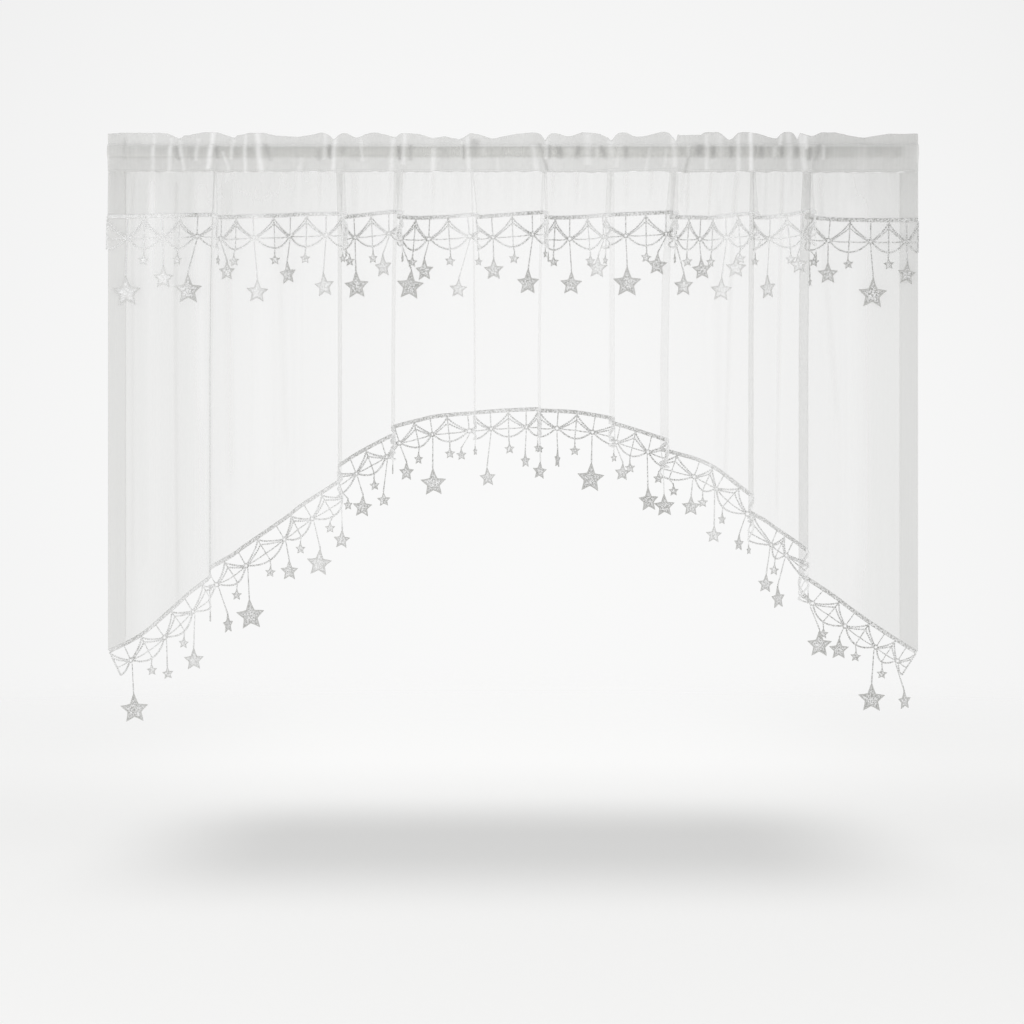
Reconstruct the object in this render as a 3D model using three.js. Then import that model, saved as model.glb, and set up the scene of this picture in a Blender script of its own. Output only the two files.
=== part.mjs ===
// Cafe curtain on a curtain rod: a sheer voile panel with an arched hem, a short voile overlay,
// a rod pocket heading with a ruffle, and two star lace trims, hung on a plain round rod.
// Units are millimetres. X runs along the rod, -Y is the room side, +Z is up, and the origin
// is the middle of the rod's axis. A place on the cloth is given by "along", its distance from
// the left edge on the flat cloth, and "down", its distance below the rod's axis.

import * as THREE from 'three';

// The hung curtain
const HUNG_WIDTH = 1200;
const CLOTH_THICK = 1.1;
const PIECE_GAP = 0.3;
const SEAM_GAP = 1.4;
const COLUMN_SPACING = 36;
const EDGE_STEPS = 400;
const HEADING_FOOT = 29.6;
const RUFFLE_TOP = -29.4;
const STITCH_LINE = -12.4;
const OVERLAY_EDGE = 92;

// The rod
const ROD_RADIUS = 8;
const ROD_LENGTH = 1156;
const ROD_SIDES = 16;

// How the folds hang at heights below the rod. open: share of their depth. lean: share of
// their lean.
const HANG = [
  { down: HEADING_FOOT, open: 0.38, lean: 0 },
  { down: OVERLAY_EDGE, open: 0.85, lean: 0.45 },
  { down: 170, open: 1, lean: 0.8 },
  { down: 300, open: 1, lean: 1 },
];

// A lapped fold turns through a short bevel at each end of its hidden layer
const BEVEL_ACROSS = 4.6;
const BEVEL_BACK = 6.4;

// The overlay and the upper trim hang in front of the panel
const OVERLAY_OUT_AT_HEADING = 1.7;
const OVERLAY_OUT_AT_EDGE = 6;
const OVERLAY_END_SAG = 5;
const TRIM_SWINGS_OUT = 0.045;

// The lace: one repeat runs from a garland's peak, over a rosette, to the next peak. The
// rosette level is a share of the net's depth
const UPPER_NET_DEPTH = 51;
const LOWER_NET_DEPTH = 42;
const LACE_THICK = 1.2;
const BRAID_HEIGHT = 5.6;
const CORD_WIDTH = 2.2;
const GARLAND_WIDTH = 6.5;
const ROSETTE_RADIUS = 6;
const ROSETTE_RIM = 1;
const ROSETTE_LEVEL = 0.68;
const PEAK_REACH = 6;
const PEAK_CLEAR = 1.5;
const SWAG_INSET = 2;
const BRAID_STEPS = 2400;
const END_RISE = 4;
const STRING_WIDTH = 1.8;
const DEEP_SOFT_FOLD = 8;

// A star's inner corners, longer top arm and raised middle
const STAR_WAIST = 0.5;
const STAR_TOP_ARM = 1.2;
const STAR_CROWN = 1.5;
const STAR_ROLL = 0.12;

// Folds of the cloth from left to right. across: place at the heading, from the rod's middle.
// depth: how far back it runs, minus for a lapped fold whose right side lies over its left.
// lap: width that shows as three layers, 0 for a soft fold. width: of a soft fold. lean: how
// far it hangs to the right lower down. lift: how far it raises the overlay's edge. dip: how
// deep the ruffle is notched above it.
const FOLDS = [
  { across: -567, depth: 3, lap: 0, width: 26, lean: 0, lift: 0, dip: 0.5 },
  { across: -497, depth: 9, lap: 0, width: 40, lean: -4, lift: 1, dip: 6 },
  { across: -442, depth: 26, lap: 4, width: 0, lean: -6, lift: 1, dip: 4 },
  { across: -396, depth: -7, lap: 0, width: 32, lean: 0, lift: 0, dip: 5 },
  { across: -339, depth: 11, lap: 0, width: 44, lean: 0, lift: 2, dip: 2 },
  { across: -257, depth: 40, lap: 10, width: 0, lean: 0, lift: 2, dip: 6 },
  { across: -171, depth: 38, lap: 9, width: 0, lean: -7, lift: 5, dip: 5 },
  { across: -116, depth: -8, lap: 0, width: 40, lean: -4, lift: -2, dip: 6 },
  { across: -62, depth: 26, lap: 4, width: 0, lean: 5, lift: 1, dip: 8 },
  { across: 46, depth: 38, lap: 6, width: 0, lean: -8, lift: 4, dip: 10 },
  { across: 92, depth: -8, lap: 0, width: 34, lean: 0, lift: 0, dip: 5 },
  { across: 147, depth: -31, lap: 10, width: 0, lean: 0, lift: 4, dip: 10 },
  { across: 238, depth: 42, lap: 11, width: 0, lean: -14, lift: 4, dip: 11 },
  { across: 298, depth: 10, lap: 0, width: 34, lean: -7, lift: -1, dip: 4 },
  { across: 355, depth: 36, lap: 7, width: 0, lean: -3, lift: 2.5, dip: 8 },
  { across: 394, depth: -9, lap: 0, width: 26, lean: -2, lift: -1, dip: 7 },
  { across: 436, depth: 48, lap: 13, width: 0, lean: -6, lift: 5, dip: 9 },
  { across: 505, depth: -5, lap: 0, width: 48, lean: 0, lift: -4, dip: 5 },
];

// The panel's arched lower edge. share: of the flat width. down: below the rod's axis.
const HEM = [
  { share: 0, down: 736 },
  { share: 0.035, down: 706 },
  { share: 0.08, down: 649 },
  { share: 0.142, down: 582 },
  { share: 0.21, down: 511 },
  { share: 0.283, down: 443 },
  { share: 0.36, down: 397 },
  { share: 0.43, down: 382 },
  { share: 0.53, down: 378 },
  { share: 0.6, down: 392 },
  { share: 0.702, down: 437 },
  { share: 0.751, down: 467 },
  { share: 0.79, down: 515 },
  { share: 0.857, down: 577 },
  { share: 0.903, down: 628 },
  { share: 0.952, down: 687 },
  { share: 1, down: 738 },
];

// The rosettes of each trim from left to right, and the star below each. along: place on the
// flat cloth. reach: from the star's centre to its side tip. string: its length. aside: how far
// the star hangs to the right. turn: degrees that it is turned about its string.
const UPPER_ROSETTES = [
  { along: 30, reach: 22.5, string: 50, aside: 0, turn: 12 },
  { along: 85.4, reach: 16.4, string: 37, aside: 1.5, turn: -14 },
  { along: 144, reach: 22, string: 49, aside: -5, turn: 18 },
  { along: 200, reach: 16.4, string: 27, aside: 0, turn: -8 },
  { along: 252.3, reach: 17.5, string: 55, aside: 4.4, turn: 10 },
  { along: 314.3, reach: 16.4, string: 31.5, aside: -0.7, turn: 0 },
  { along: 368.8, reach: 17.5, string: 49.5, aside: 4, turn: -16 },
  { along: 412, reach: 8.6, string: 10, aside: 0, turn: 0 },
  { along: 458, reach: 20.5, string: 43.5, aside: 1.5, turn: 6 },
  { along: 517, reach: 16.4, string: 25, aside: -1.5, turn: -12 },
  { along: 577, reach: 22, string: 40.5, aside: 11, turn: 8 },
  { along: 628.2, reach: 16.4, string: 22.5, aside: -3.7, turn: 0 },
  { along: 681.3, reach: 17.5, string: 56, aside: -3, turn: 14 },
  { along: 742.3, reach: 16.4, string: 24.5, aside: -1.5, turn: 5 },
  { along: 808.6, reach: 22, string: 44.5, aside: 3, turn: -6 },
  { along: 857, reach: 8.6, string: 10, aside: 0, turn: 0 },
  { along: 906, reach: 17.5, string: 42, aside: 2.8, turn: 6 },
  { along: 959.5, reach: 16.4, string: 22.5, aside: -3.7, turn: -10 },
  { along: 1031, reach: 22.5, string: 39, aside: 0, turn: 4 },
  { along: 1090.7, reach: 16.4, string: 22, aside: -0.7, turn: 16 },
  { along: 1157, reach: 20, string: 45.5, aside: 0, turn: -14 },
  { along: 1192.5, reach: 16.4, string: 21.4, aside: 4, turn: 4 },
  { along: 1241.9, reach: 17.5, string: 53, aside: -4, turn: 12 },
  { along: 1274, reach: 16.4, string: 24, aside: -8, turn: 10 },
  { along: 1351.9, reach: 17.5, string: 48, aside: 1.5, turn: -8 },
  { along: 1405.6, reach: 14, string: 25, aside: 0, turn: 30 },
  { along: 1449, reach: 8.6, string: 54, aside: 0, turn: 0 },
  { along: 1504.9, reach: 16.4, string: 25.6, aside: 0, turn: 6 },
  { along: 1566.2, reach: 22.5, string: 47, aside: 2.2, turn: -4 },
  { along: 1620, reach: 16.4, string: 25, aside: 0, turn: 28 },
];
const LOWER_ROSETTES = [
  { along: 34.4, reach: 22, string: 42, aside: 4.4, turn: 16 },
  { along: 90.6, reach: 9.5, string: 38, aside: 1.9, turn: 10 },
  { along: 138.9, reach: 16.4, string: 48, aside: 5.9, turn: 34 },
  { along: 196, reach: 14, string: 38, aside: 4.7, turn: 78 },
  { along: 239.6, reach: 22.5, string: 43, aside: 4.4, turn: 4 },
  { along: 299.7, reach: 15, string: 25, aside: 7.4, turn: 12 },
  { along: 348.5, reach: 20, string: 38, aside: 8, turn: 20 },
  { along: 400, reach: 14, string: 42, aside: -2, turn: 24 },
  { along: 463.2, reach: 16.4, string: 26, aside: 8.4, turn: 14 },
  { along: 518.1, reach: 16.4, string: 46, aside: 4.7, turn: 22 },
  { along: 579.1, reach: 14, string: 22, aside: 4, turn: -18 },
  { along: 633, reach: 20.5, string: 43, aside: 1.5, turn: 10 },
  { along: 681.9, reach: 13, string: 20, aside: 1.8, turn: 34 },
  { along: 741.2, reach: 14, string: 51, aside: -7.7, turn: 48 },
  { along: 804.2, reach: 11, string: 32, aside: -2.7, turn: 66 },
  { along: 845, reach: 13, string: 45, aside: 0, turn: 32 },
  { along: 885.9, reach: 13, string: 26, aside: 0.9, turn: 80 },
  { along: 941.7, reach: 22, string: 38, aside: -2.7, turn: 4 },
  { along: 1014.2, reach: 13.5, string: 25, aside: 0, turn: 20 },
  { along: 1069.2, reach: 17.5, string: 46, aside: 1.8, turn: 24 },
  { along: 1128, reach: 17, string: 38, aside: -3.3, turn: 8 },
  { along: 1188.2, reach: 15, string: 22, aside: -3, turn: 10 },
  { along: 1224.2, reach: 13, string: 49, aside: 0, turn: 38 },
  { along: 1270.9, reach: 12, string: 25, aside: -3.7, turn: 68 },
  { along: 1351, reach: 14, string: 37.5, aside: -7, turn: 62 },
  { along: 1379, reach: 16, string: 40.5, aside: -11, turn: 70 },
  { along: 1484.4, reach: 22.5, string: 34, aside: 0, turn: 12 },
  { along: 1529.3, reach: 16, string: 12, aside: -6, turn: 24 },
  { along: 1575.6, reach: 21.5, string: 47, aside: -3.9, turn: -16 },
  { along: 1607, reach: 14, string: 38, aside: 13, turn: 44 },
];
const PEAK_STAR = { reach: 8.6, string: 0, drop: 18, aside: 0, turn: 0 };
const STAR_IN_FOLD = 0.8;
const STAR_FORWARD = 2.5;
const STAR_CLEAR = 5;
const STAR_SIDEWAYS = 12;

// Section of the heading, from its ruffle round the room side: forward of the rod, and down
const SLEEVE_OUTSIDE = [
  { forward: 1.2, down: RUFFLE_TOP },
  { forward: 1.3, down: STITCH_LINE },
  { forward: 7.7, down: -8.6 },
  { forward: 10.6, down: 0 },
  { forward: 2.6, down: HEADING_FOOT },
];
const SLEEVE_INSIDE = [
  { forward: 0, down: -9.8 },
  { forward: 5.9, down: -7.3 },
  { forward: 9.1, down: 0 },
  { forward: 1.2, down: 27.4 },
];
const GATHER_BULGE = 2.4;
const GATHER_REACH = 14;
const NOTCH_REACH = 16;
const RUFFLE_WAVE = 4;
const RUFFLE_PITCH = 107;

const VOILE = { color: 0xf2f2f0, roughness: 0.9, metalness: 0 };
const LACE = { color: 0xd3d3d0, roughness: 0.75, metalness: 0 };
const ROD_PAINT = { color: 0xc9c9c6, roughness: 0.45, metalness: 0 };

const lerp = THREE.MathUtils.lerp;

// How the folds hang at a distance below the rod
function hangAt(down) {
  const last = HANG.length - 1;
  if (down >= HANG[last].down) {
    return HANG[last];
  }
  const index = Math.max(1, HANG.findIndex((row) => row.down > down));
  const [upper, lower] = [HANG[index - 1], HANG[index]];
  const share = (down - upper.down) / (lower.down - upper.down);
  return { open: lerp(upper.open, lower.open, share), lean: lerp(upper.lean, lower.lean, share) };
}

// The corners of a lapped fold in plan: a bevel, the hidden layer and a bevel
function lappedCorners(fold) {
  const side = Math.sign(fold.depth);
  const half = Math.abs(fold.depth) / 2;
  const across = fold.lap / 2;
  return [
    { x: fold.across + across - BEVEL_ACROSS, back: -side * half },
    { x: fold.across + across, back: -side * (half - BEVEL_BACK) },
    { x: fold.across - across, back: side * (half - BEVEL_BACK) },
    { x: fold.across - across + BEVEL_ACROSS, back: side * half },
  ];
}

// The corners of a soft fold in plan, measured from the cloth that it stands on
function softCorners(fold) {
  return [
    { x: fold.across - fold.width / 2, rise: 0 },
    { x: fold.across - fold.width / 6, rise: fold.depth },
    { x: fold.across + fold.width / 6, rise: fold.depth },
    { x: fold.across + fold.width / 2, rise: 0 },
  ];
}

// The plan of the hung cloth: corners with their place, lean and distance along the flat cloth
function planCorners() {
  const half = HUNG_WIDTH / 2;
  const corners = [{ x: -half, back: 0, lean: 0, fold: null }];
  for (const fold of FOLDS) {
    const own = fold.lap > 0 ? lappedCorners(fold) : softCorners(fold);
    corners.push(...own.map((corner) => ({ ...corner, lean: fold.lean, fold })));
  }
  corners.push({ x: half, back: 0, lean: 0, fold: null });

  const firm = corners.filter((corner) => corner.back !== undefined);
  for (const corner of corners) {
    if (corner.back === undefined) {
      const after = firm.findIndex((other) => other.x > corner.x);
      const [left, right] = [firm[after - 1], firm[after]];
      const share = (corner.x - left.x) / (right.x - left.x);
      corner.back = lerp(left.back, right.back, share) + corner.rise;
    }
  }

  for (let i = corners.length - 1; i > 0; i -= 1) {
    const [left, right] = [corners[i - 1], corners[i]];
    const parts = Math.ceil((right.x - left.x) / COLUMN_SPACING);
    for (let part = parts - 1; part > 0; part -= 1) {
      const share = part / parts;
      const between = {
        x: lerp(left.x, right.x, share),
        back: lerp(left.back, right.back, share),
        lean: lerp(left.lean, right.lean, share),
        fold: null,
      };
      corners.splice(i, 0, between);
    }
  }

  corners[0].along = 0;
  for (let i = 1; i < corners.length; i += 1) {
    const step = Math.hypot(corners[i].x - corners[i - 1].x, corners[i].back - corners[i - 1].back);
    corners[i].along = corners[i - 1].along + step;
  }
  return corners;
}

const PLAN = planCorners();
const FLAT_WIDTH = PLAN[PLAN.length - 1].along;

// Where the lapped folds begin and end on the flat cloth
const LAPPED = FOLDS.filter((fold) => fold.lap > 0).map((fold) => {
  const own = PLAN.filter((corner) => corner.fold === fold);
  return { left: own[0].along, right: own[own.length - 1].along };
});

// A plan corner at one height, as hung
function cornerAt(index, down) {
  const corner = PLAN[index];
  const hang = hangAt(down);
  return new THREE.Vector2(corner.x + corner.lean * hang.lean, corner.back * hang.open);
}

// Which way the room side of the cloth faces at a plan corner, long enough to keep its layers apart
function mitreAt(index, down) {
  const here = cornerAt(index, down);
  const before = index > 0 ? here.clone().sub(cornerAt(index - 1, down)).normalize() : null;
  const last = index === PLAN.length - 1;
  const after = last ? null : cornerAt(index + 1, down).sub(here).normalize();
  const a = before ?? after;
  const b = after ?? before;
  const facing = new THREE.Vector2(a.y + b.y, -a.x - b.x);
  return facing.divideScalar(1 + a.dot(b));
}

// The part of the plan that holds a distance along the flat cloth
function planStep(along) {
  let index = 0;
  while (index < PLAN.length - 2 && PLAN[index + 1].along < along) {
    index += 1;
  }
  const share = (along - PLAN[index].along) / (PLAN[index + 1].along - PLAN[index].along);
  return { index, share };
}

// A point of the hung cloth, "out" in front of the panel's middle layer
function hungPoint(along, down, out) {
  const { index, share } = planStep(along);
  const left = cornerAt(index, down).addScaledVector(mitreAt(index, down), out);
  const right = cornerAt(index + 1, down).addScaledVector(mitreAt(index + 1, down), out);
  return new THREE.Vector3(lerp(left.x, right.x, share), lerp(left.y, right.y, share), -down);
}

// How far in front of the panel the overlay and its trim hang
function overlayOut(down) {
  const share = THREE.MathUtils.clamp((down - HEADING_FOOT) / (OVERLAY_EDGE - HEADING_FOOT), 0, 1);
  const swing = Math.max(0, down - OVERLAY_EDGE) * TRIM_SWINGS_OUT;
  return lerp(OVERLAY_OUT_AT_HEADING, OVERLAY_OUT_AT_EDGE, share) + swing;
}

// A smooth edge through knots, as a curve over the flat cloth
function edgeCurve(knots) {
  const curve = new THREE.SplineCurve(knots.map((knot) => new THREE.Vector2(knot.along, knot.down)));
  curve.arcLengthDivisions = EDGE_STEPS;
  return curve;
}

function hemCurve() {
  return edgeCurve(HEM.map((row) => ({ along: row.share * FLAT_WIDTH, down: row.down })));
}

// The overlay's edge is lifted at the folds and sags a little between them
function overlayCurve() {
  const knots = [{ along: 0, down: OVERLAY_EDGE }];
  for (const fold of FOLDS) {
    const own = PLAN.filter((corner) => corner.fold === fold);
    const left = own[0].along;
    const right = own[own.length - 1].along;
    if (fold.lap > 0) {
      knots.push({ along: left, down: OVERLAY_EDGE - fold.lift });
      knots.push({ along: right, down: OVERLAY_EDGE - fold.lift / 4 });
    } else {
      knots.push({ along: (left + right) / 2, down: OVERLAY_EDGE - fold.lift });
    }
  }
  knots.push({ along: FLAT_WIDTH, down: OVERLAY_EDGE + OVERLAY_END_SAG });
  return edgeCurve(knots);
}

// How far down an edge lies at a distance along the flat cloth
function edgeDown(points, along) {
  let index = 0;
  while (index < points.length - 2 && points[index + 1].x < along) {
    index += 1;
  }
  const [a, b] = [points[index], points[index + 1]];
  return lerp(a.y, b.y, (along - a.x) / (b.x - a.x));
}

// A flat piece of cloth or lace hung in its folds and given its thickness. flat: points over
// the flat cloth. triangles: three indices each, all turning the same way. skip: edges left
// open for what hangs from them.
function hangFlat(flat, triangles, out, thick, skip = new Set()) {
  const positions = [];
  const indices = [];
  for (const side of [1, -1]) {
    for (const point of flat) {
      positions.push(hungPoint(point.x, point.y, out(point.y) + (side * thick) / 2));
    }
  }
  const count = flat.length;
  const edges = new Map();
  for (const [a, b, c] of triangles) {
    indices.push(a, b, c, count + a, count + c, count + b);
    for (const [from, to] of [[a, b], [b, c], [c, a]]) {
      edges.set(`${from},${to}`, [from, to]);
    }
  }
  for (const [from, to] of edges.values()) {
    const open = !edges.has(`${to},${from}`);
    if (open && !skip.has(`${from},${to}`)) {
      indices.push(to, from, count + from, to, count + from, count + to);
    }
  }
  return { positions, indices };
}

function toGeometry({ positions, indices }) {
  const geometry = new THREE.BufferGeometry();
  const numbers = positions.flatMap((point) => [point.x, point.y, point.z]);
  geometry.setAttribute('position', new THREE.Float32BufferAttribute(numbers, 3));
  geometry.setIndex(indices);
  geometry.computeVertexNormals();
  return geometry;
}

function namedMesh(name, geometry, finish) {
  const mesh = new THREE.Mesh(geometry, new THREE.MeshStandardMaterial(finish));
  mesh.name = name;
  return mesh;
}

// A cloth sheet from the heading through some heights down to an edge, with a column at each
// corner of the plan
function clothSheet(curve, heights, out) {
  const edge = curve.getPoints(EDGE_STEPS);
  const levels = [HEADING_FOOT + PIECE_GAP, ...heights];
  const flat = levels.flatMap((down) => PLAN.map((corner) => new THREE.Vector2(corner.along, down)));
  flat.push(...PLAN.map((corner) => new THREE.Vector2(corner.along, edgeDown(edge, corner.along))));
  const across = PLAN.length;
  const triangles = [];
  for (let row = 0; row < levels.length; row += 1) {
    for (let column = 0; column < across - 1; column += 1) {
      const a = row * across + column;
      triangles.push([a, a + across, a + 1], [a + 1, a + across, a + across + 1]);
    }
  }
  return toGeometry(hangFlat(flat, triangles, out, CLOTH_THICK));
}

// One side of a garland window, as shares of the way from the peak to the rosette
function laceHoles(peak, rosette, depth) {
  const side = Math.sign(rosette - peak);
  const half = CORD_WIDTH / 2;
  const middle = depth * ROSETTE_LEVEL;
  const garlandTop = middle - ROSETTE_RADIUS;
  const window = [
    [peak + side * PEAK_REACH, BRAID_HEIGHT],
    [rosette - side * half, BRAID_HEIGHT],
    [rosette - side * half, garlandTop],
  ];
  const triangle = [
    [peak + side * half, BRAID_HEIGHT + GARLAND_WIDTH + PEAK_CLEAR],
    [rosette - side * (ROSETTE_RADIUS + ROSETTE_RIM), middle - half],
    [peak + side * half, middle - half],
  ];
  return [window, triangle];
}

function swagHole(peak, repeat, depth) {
  const half = CORD_WIDTH / 2;
  const middle = depth * ROSETTE_LEVEL;
  const reach = repeat / 2 - ROSETTE_RADIUS - SWAG_INSET;
  return [
    [peak - reach, middle + half],
    [peak + reach, middle + half],
    [peak, depth - CORD_WIDTH],
  ];
}

// Where a trim's rosettes lie along its braid
function rosettePlaces(curve, rosettes, level) {
  const length = curve.getLength();
  const samples = [];
  for (let step = 0; step <= BRAID_STEPS; step += 1) {
    const share = step / BRAID_STEPS;
    const tangent = curve.getTangentAt(share);
    const along = curve.getPointAt(share).x - tangent.y * (level + SEAM_GAP);
    samples.push({ place: share * length, along });
  }
  return rosettes.map((rosette) => {
    const off = (sample) => Math.abs(sample.along - rosette.along);
    return samples.reduce((best, sample) => (off(sample) < off(best) ? sample : best)).place;
  });
}

// The flat pattern of a trim: its outline, its holes and the places its stars hang from.
// Points are distances along the braid's top edge and below it.
function lacePattern(curve, rosettes, depth) {
  const length = curve.getLength();
  const places = rosettePlaces(curve, rosettes, depth * ROSETTE_LEVEL);
  const half = STRING_WIDTH / 2;
  const foot = depth * ROSETTE_LEVEL + ROSETTE_RADIUS;
  const top = [];
  const bottom = [];
  const holes = [];
  const hangers = [];
  places.forEach((rosette, k) => {
    const peak = k > 0 ? (places[k - 1] + rosette) / 2 : 0;
    const next = k < places.length - 1 ? (rosette + places[k + 1]) / 2 : length;
    top.push([peak, 0], [rosette, 0]);
    if (k > 0) {
      bottom.push([peak - half, depth], [peak + half, depth]);
      hangers.push({ place: peak, depth, star: PEAK_STAR });
      holes.push(swagHole(peak, rosette - places[k - 1], depth));
    }
    bottom.push([rosette - half, foot], [rosette + half, foot]);
    hangers.push({ place: rosette, depth: foot, star: rosettes[k] });
    holes.push(...laceHoles(peak, rosette, depth));
    holes.push(...laceHoles(next, rosette, depth));
  });
  top.push([length, 0]);
  const end = depth - END_RISE;
  const outline = [...top, [length, end], ...bottom.reverse(), [0, end]];
  return { outline, holes, hangers };
}

// Twice the area of a flat triangle, by the way that it turns
function turnOf(a, b, c) {
  return (b.x - a.x) * (c.y - a.y) - (b.y - a.y) * (c.x - a.x);
}

// Whether a point lies inside the circle through a triangle that turns the positive way
function insideCircle(a, b, c, point) {
  const rows = [a, b, c].map((corner) => {
    const x = corner.x - point.x;
    const y = corner.y - point.y;
    return [x, y, x * x + y * y];
  });
  const [p, q, r] = rows;
  const minor = (u, v) => u[0] * v[1] - u[1] * v[0];
  return p[2] * minor(q, r) - q[2] * minor(p, r) + r[2] * minor(p, q) > 1e-6;
}

// Turns the diagonals of flat triangles until none could be rounder, so that few cross a fold
function roundTriangles(flat, triangles) {
  const faces = triangles.map((triangle) => [...triangle]);
  let turned = true;
  while (turned) {
    turned = false;
    const owners = new Map();
    faces.forEach((face, index) => {
      for (let i = 0; i < 3; i += 1) {
        owners.set(`${face[i]},${face[(i + 1) % 3]}`, { index, apex: face[(i + 2) % 3] });
      }
    });
    const touched = new Set();
    for (const [key, own] of owners) {
      const [from, to] = key.split(',').map(Number);
      const other = owners.get(`${to},${from}`);
      if (!other || touched.has(own.index) || touched.has(other.index)) {
        continue;
      }
      const [a, b, c, d] = [from, to, own.apex, other.apex].map((index) => flat[index]);
      const convex = turnOf(c, a, d) > 1e-6 && turnOf(d, b, c) > 1e-6;
      if (convex && insideCircle(a, b, c, d)) {
        faces[own.index] = [own.apex, from, other.apex];
        faces[other.index] = [other.apex, to, own.apex];
        touched.add(own.index);
        touched.add(other.index);
        turned = true;
      }
    }
  }
  return faces;
}

// Splits flat triangles along a line across the cloth, so that they can turn there
function splitAt(flat, triangles, along) {
  const near = 0.2;
  const made = new Map();
  const side = (index) => {
    const off = flat[index].x - along;
    return Math.abs(off) < near ? 0 : Math.sign(off);
  };
  const crossing = (a, b) => {
    const key = `${Math.min(a, b)},${Math.max(a, b)}`;
    if (!made.has(key)) {
      const share = (along - flat[a].x) / (flat[b].x - flat[a].x);
      made.set(key, flat.length);
      flat.push(flat[a].clone().lerp(flat[b], share));
    }
    return made.get(key);
  };
  const result = [];
  for (const triangle of triangles) {
    const sides = triangle.map(side);
    if (Math.max(...sides) <= 0 || Math.min(...sides) >= 0) {
      result.push(triangle);
      continue;
    }
    const onLine = sides.indexOf(0);
    const sum = sides[0] + sides[1] + sides[2];
    const first = onLine >= 0 ? onLine : sides.indexOf(-sum);
    const [a, b, c] = [0, 1, 2].map((step) => triangle[(first + step) % 3]);
    if (onLine >= 0) {
      const middle = crossing(b, c);
      result.push([a, b, middle], [a, middle, c]);
    } else {
      const left = crossing(a, b);
      const right = crossing(a, c);
      result.push([a, left, right], [left, b, right], [b, c, right]);
    }
  }
  return result;
}

// Ring of a star from one side of its top arm round to the other, in its own plane
function starRing(reach, roll) {
  const ring = [];
  for (let step = 1; step <= 9; step += 1) {
    const radius = step % 2 === 1 ? reach * STAR_WAIST : reach;
    const angle = (step * Math.PI) / 5 + roll;
    ring.push(new THREE.Vector2(Math.sin(angle) * radius, Math.cos(angle) * radius));
  }
  return ring;
}

// How far a place on the flat cloth lies from the nearest lapped fold, 0 inside one
function gapToLap(along) {
  const gaps = LAPPED.map(({ left, right }) => {
    return along < (left + right) / 2 ? Math.min(0, along - left) : Math.max(0, along - right);
  });
  return gaps.reduce((least, gap) => (Math.abs(gap) < Math.abs(least) ? gap : least));
}

// The star that hangs from a root and its centre on the cloth: beside a lapped fold it hangs
// aside, and it is no wider than the room there
function seatStar(root, wanted) {
  const rootGap = gapToLap(root.x);
  const inFold = rootGap === 0;
  const faces = !inFold || wanted.turn !== 0;
  const wish = root.x + wanted.aside;
  const gap = inFold ? 0 : gapToLap(wish) || Math.sign(rootGap) * SEAM_GAP;
  const room = Math.max(Math.abs(gap) + STAR_SIDEWAYS - STAR_CLEAR, PEAK_STAR.reach);
  const folded = faces ? wanted.reach : wanted.reach * STAR_IN_FOLD;
  const reach = inFold ? folded : Math.min(wanted.reach, room);
  const sideways = inFold ? 0 : Math.max(0, reach + STAR_CLEAR - Math.abs(gap));
  const drop = wanted.string > 0 ? wanted.string + reach * STAR_TOP_ARM : wanted.drop;
  return {
    reach,
    faces,
    inFold,
    along: wish + Math.sign(gap) * Math.min(sideways, STAR_SIDEWAYS),
    down: root.y + drop,
  };
}

// Adds a string and its star below four corners of the lace: room side left and right, then
// wall side left and right
function addStar(mesh, corners, root, wanted, out) {
  const { positions, indices } = mesh;
  const { reach, faces, inFold, along, down } = seatStar(root, wanted);
  const forward = out(down) + (inFold ? 0 : STAR_FORWARD);
  const centre = hungPoint(along, down, forward);
  const [left, beside] = [-0.5, 0.5].map((side) => hungPoint(along + side * reach, down, forward));
  const across = beside.sub(left);
  const cloth = inFold && faces ? 0 : Math.atan2(across.y, across.x);
  const turn = cloth + THREE.MathUtils.degToRad(wanted.turn);
  const right = new THREE.Vector3(Math.cos(turn), Math.sin(turn), 0);
  const toRoom = new THREE.Vector3(right.y, -right.x, 0);
  let top = corners;
  const place = (x, z, y) => {
    positions.push(centre.clone().addScaledVector(right, x).addScaledVector(toRoom, y).setZ(centre.z + z));
    return positions.length - 1;
  };
  if (wanted.string > 0) {
    const half = STRING_WIDTH / 2;
    const arm = reach * STAR_TOP_ARM;
    top = [[-half, half], [half, half], [-half, -half], [half, -half]].map(([x, y]) => place(x, arm, y));
    const walls = [[0, 1], [1, 3], [3, 2], [2, 0]];
    for (const [a, b] of walls) {
      indices.push(corners[a], top[b], corners[b], corners[a], top[a], top[b]);
    }
  }
  const ring = starRing(reach, Math.sin(root.x) * STAR_ROLL).map((point) => place(point.x, point.y, 0));
  const front = place(0, 0, STAR_CROWN);
  const back = place(0, 0, -STAR_CROWN);
  const loop = (centreIndex, leftTop, rightTop, flip) => {
    const chain = [rightTop, ...ring, leftTop];
    for (let i = 0; i < chain.length; i += 1) {
      const next = chain[(i + 1) % chain.length];
      indices.push(...(flip ? [centreIndex, chain[i], next] : [centreIndex, next, chain[i]]));
    }
  };
  loop(front, top[0], top[1], false);
  loop(back, top[2], top[3], true);
  indices.push(top[1], ring[0], top[3], top[0], top[2], ring[ring.length - 1]);
}

// Lines across the cloth where a lace trim turns, kept clear of its strings
function turningLines(stringPlaces) {
  const clear = STRING_WIDTH;
  const turns = FOLDS.flatMap((fold) => {
    const own = PLAN.filter((corner) => corner.fold === fold).map((corner) => corner.along);
    if (fold.lap > 0) {
      return own;
    }
    return Math.abs(fold.depth) < DEEP_SOFT_FOLD ? [] : [(own[1] + own[2]) / 2];
  });
  return turns.map((along) => {
    const string = stringPlaces.find((place) => Math.abs(place - along) < clear);
    return string === undefined ? along : string + clear * Math.sign(along - string || 1);
  });
}

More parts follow.
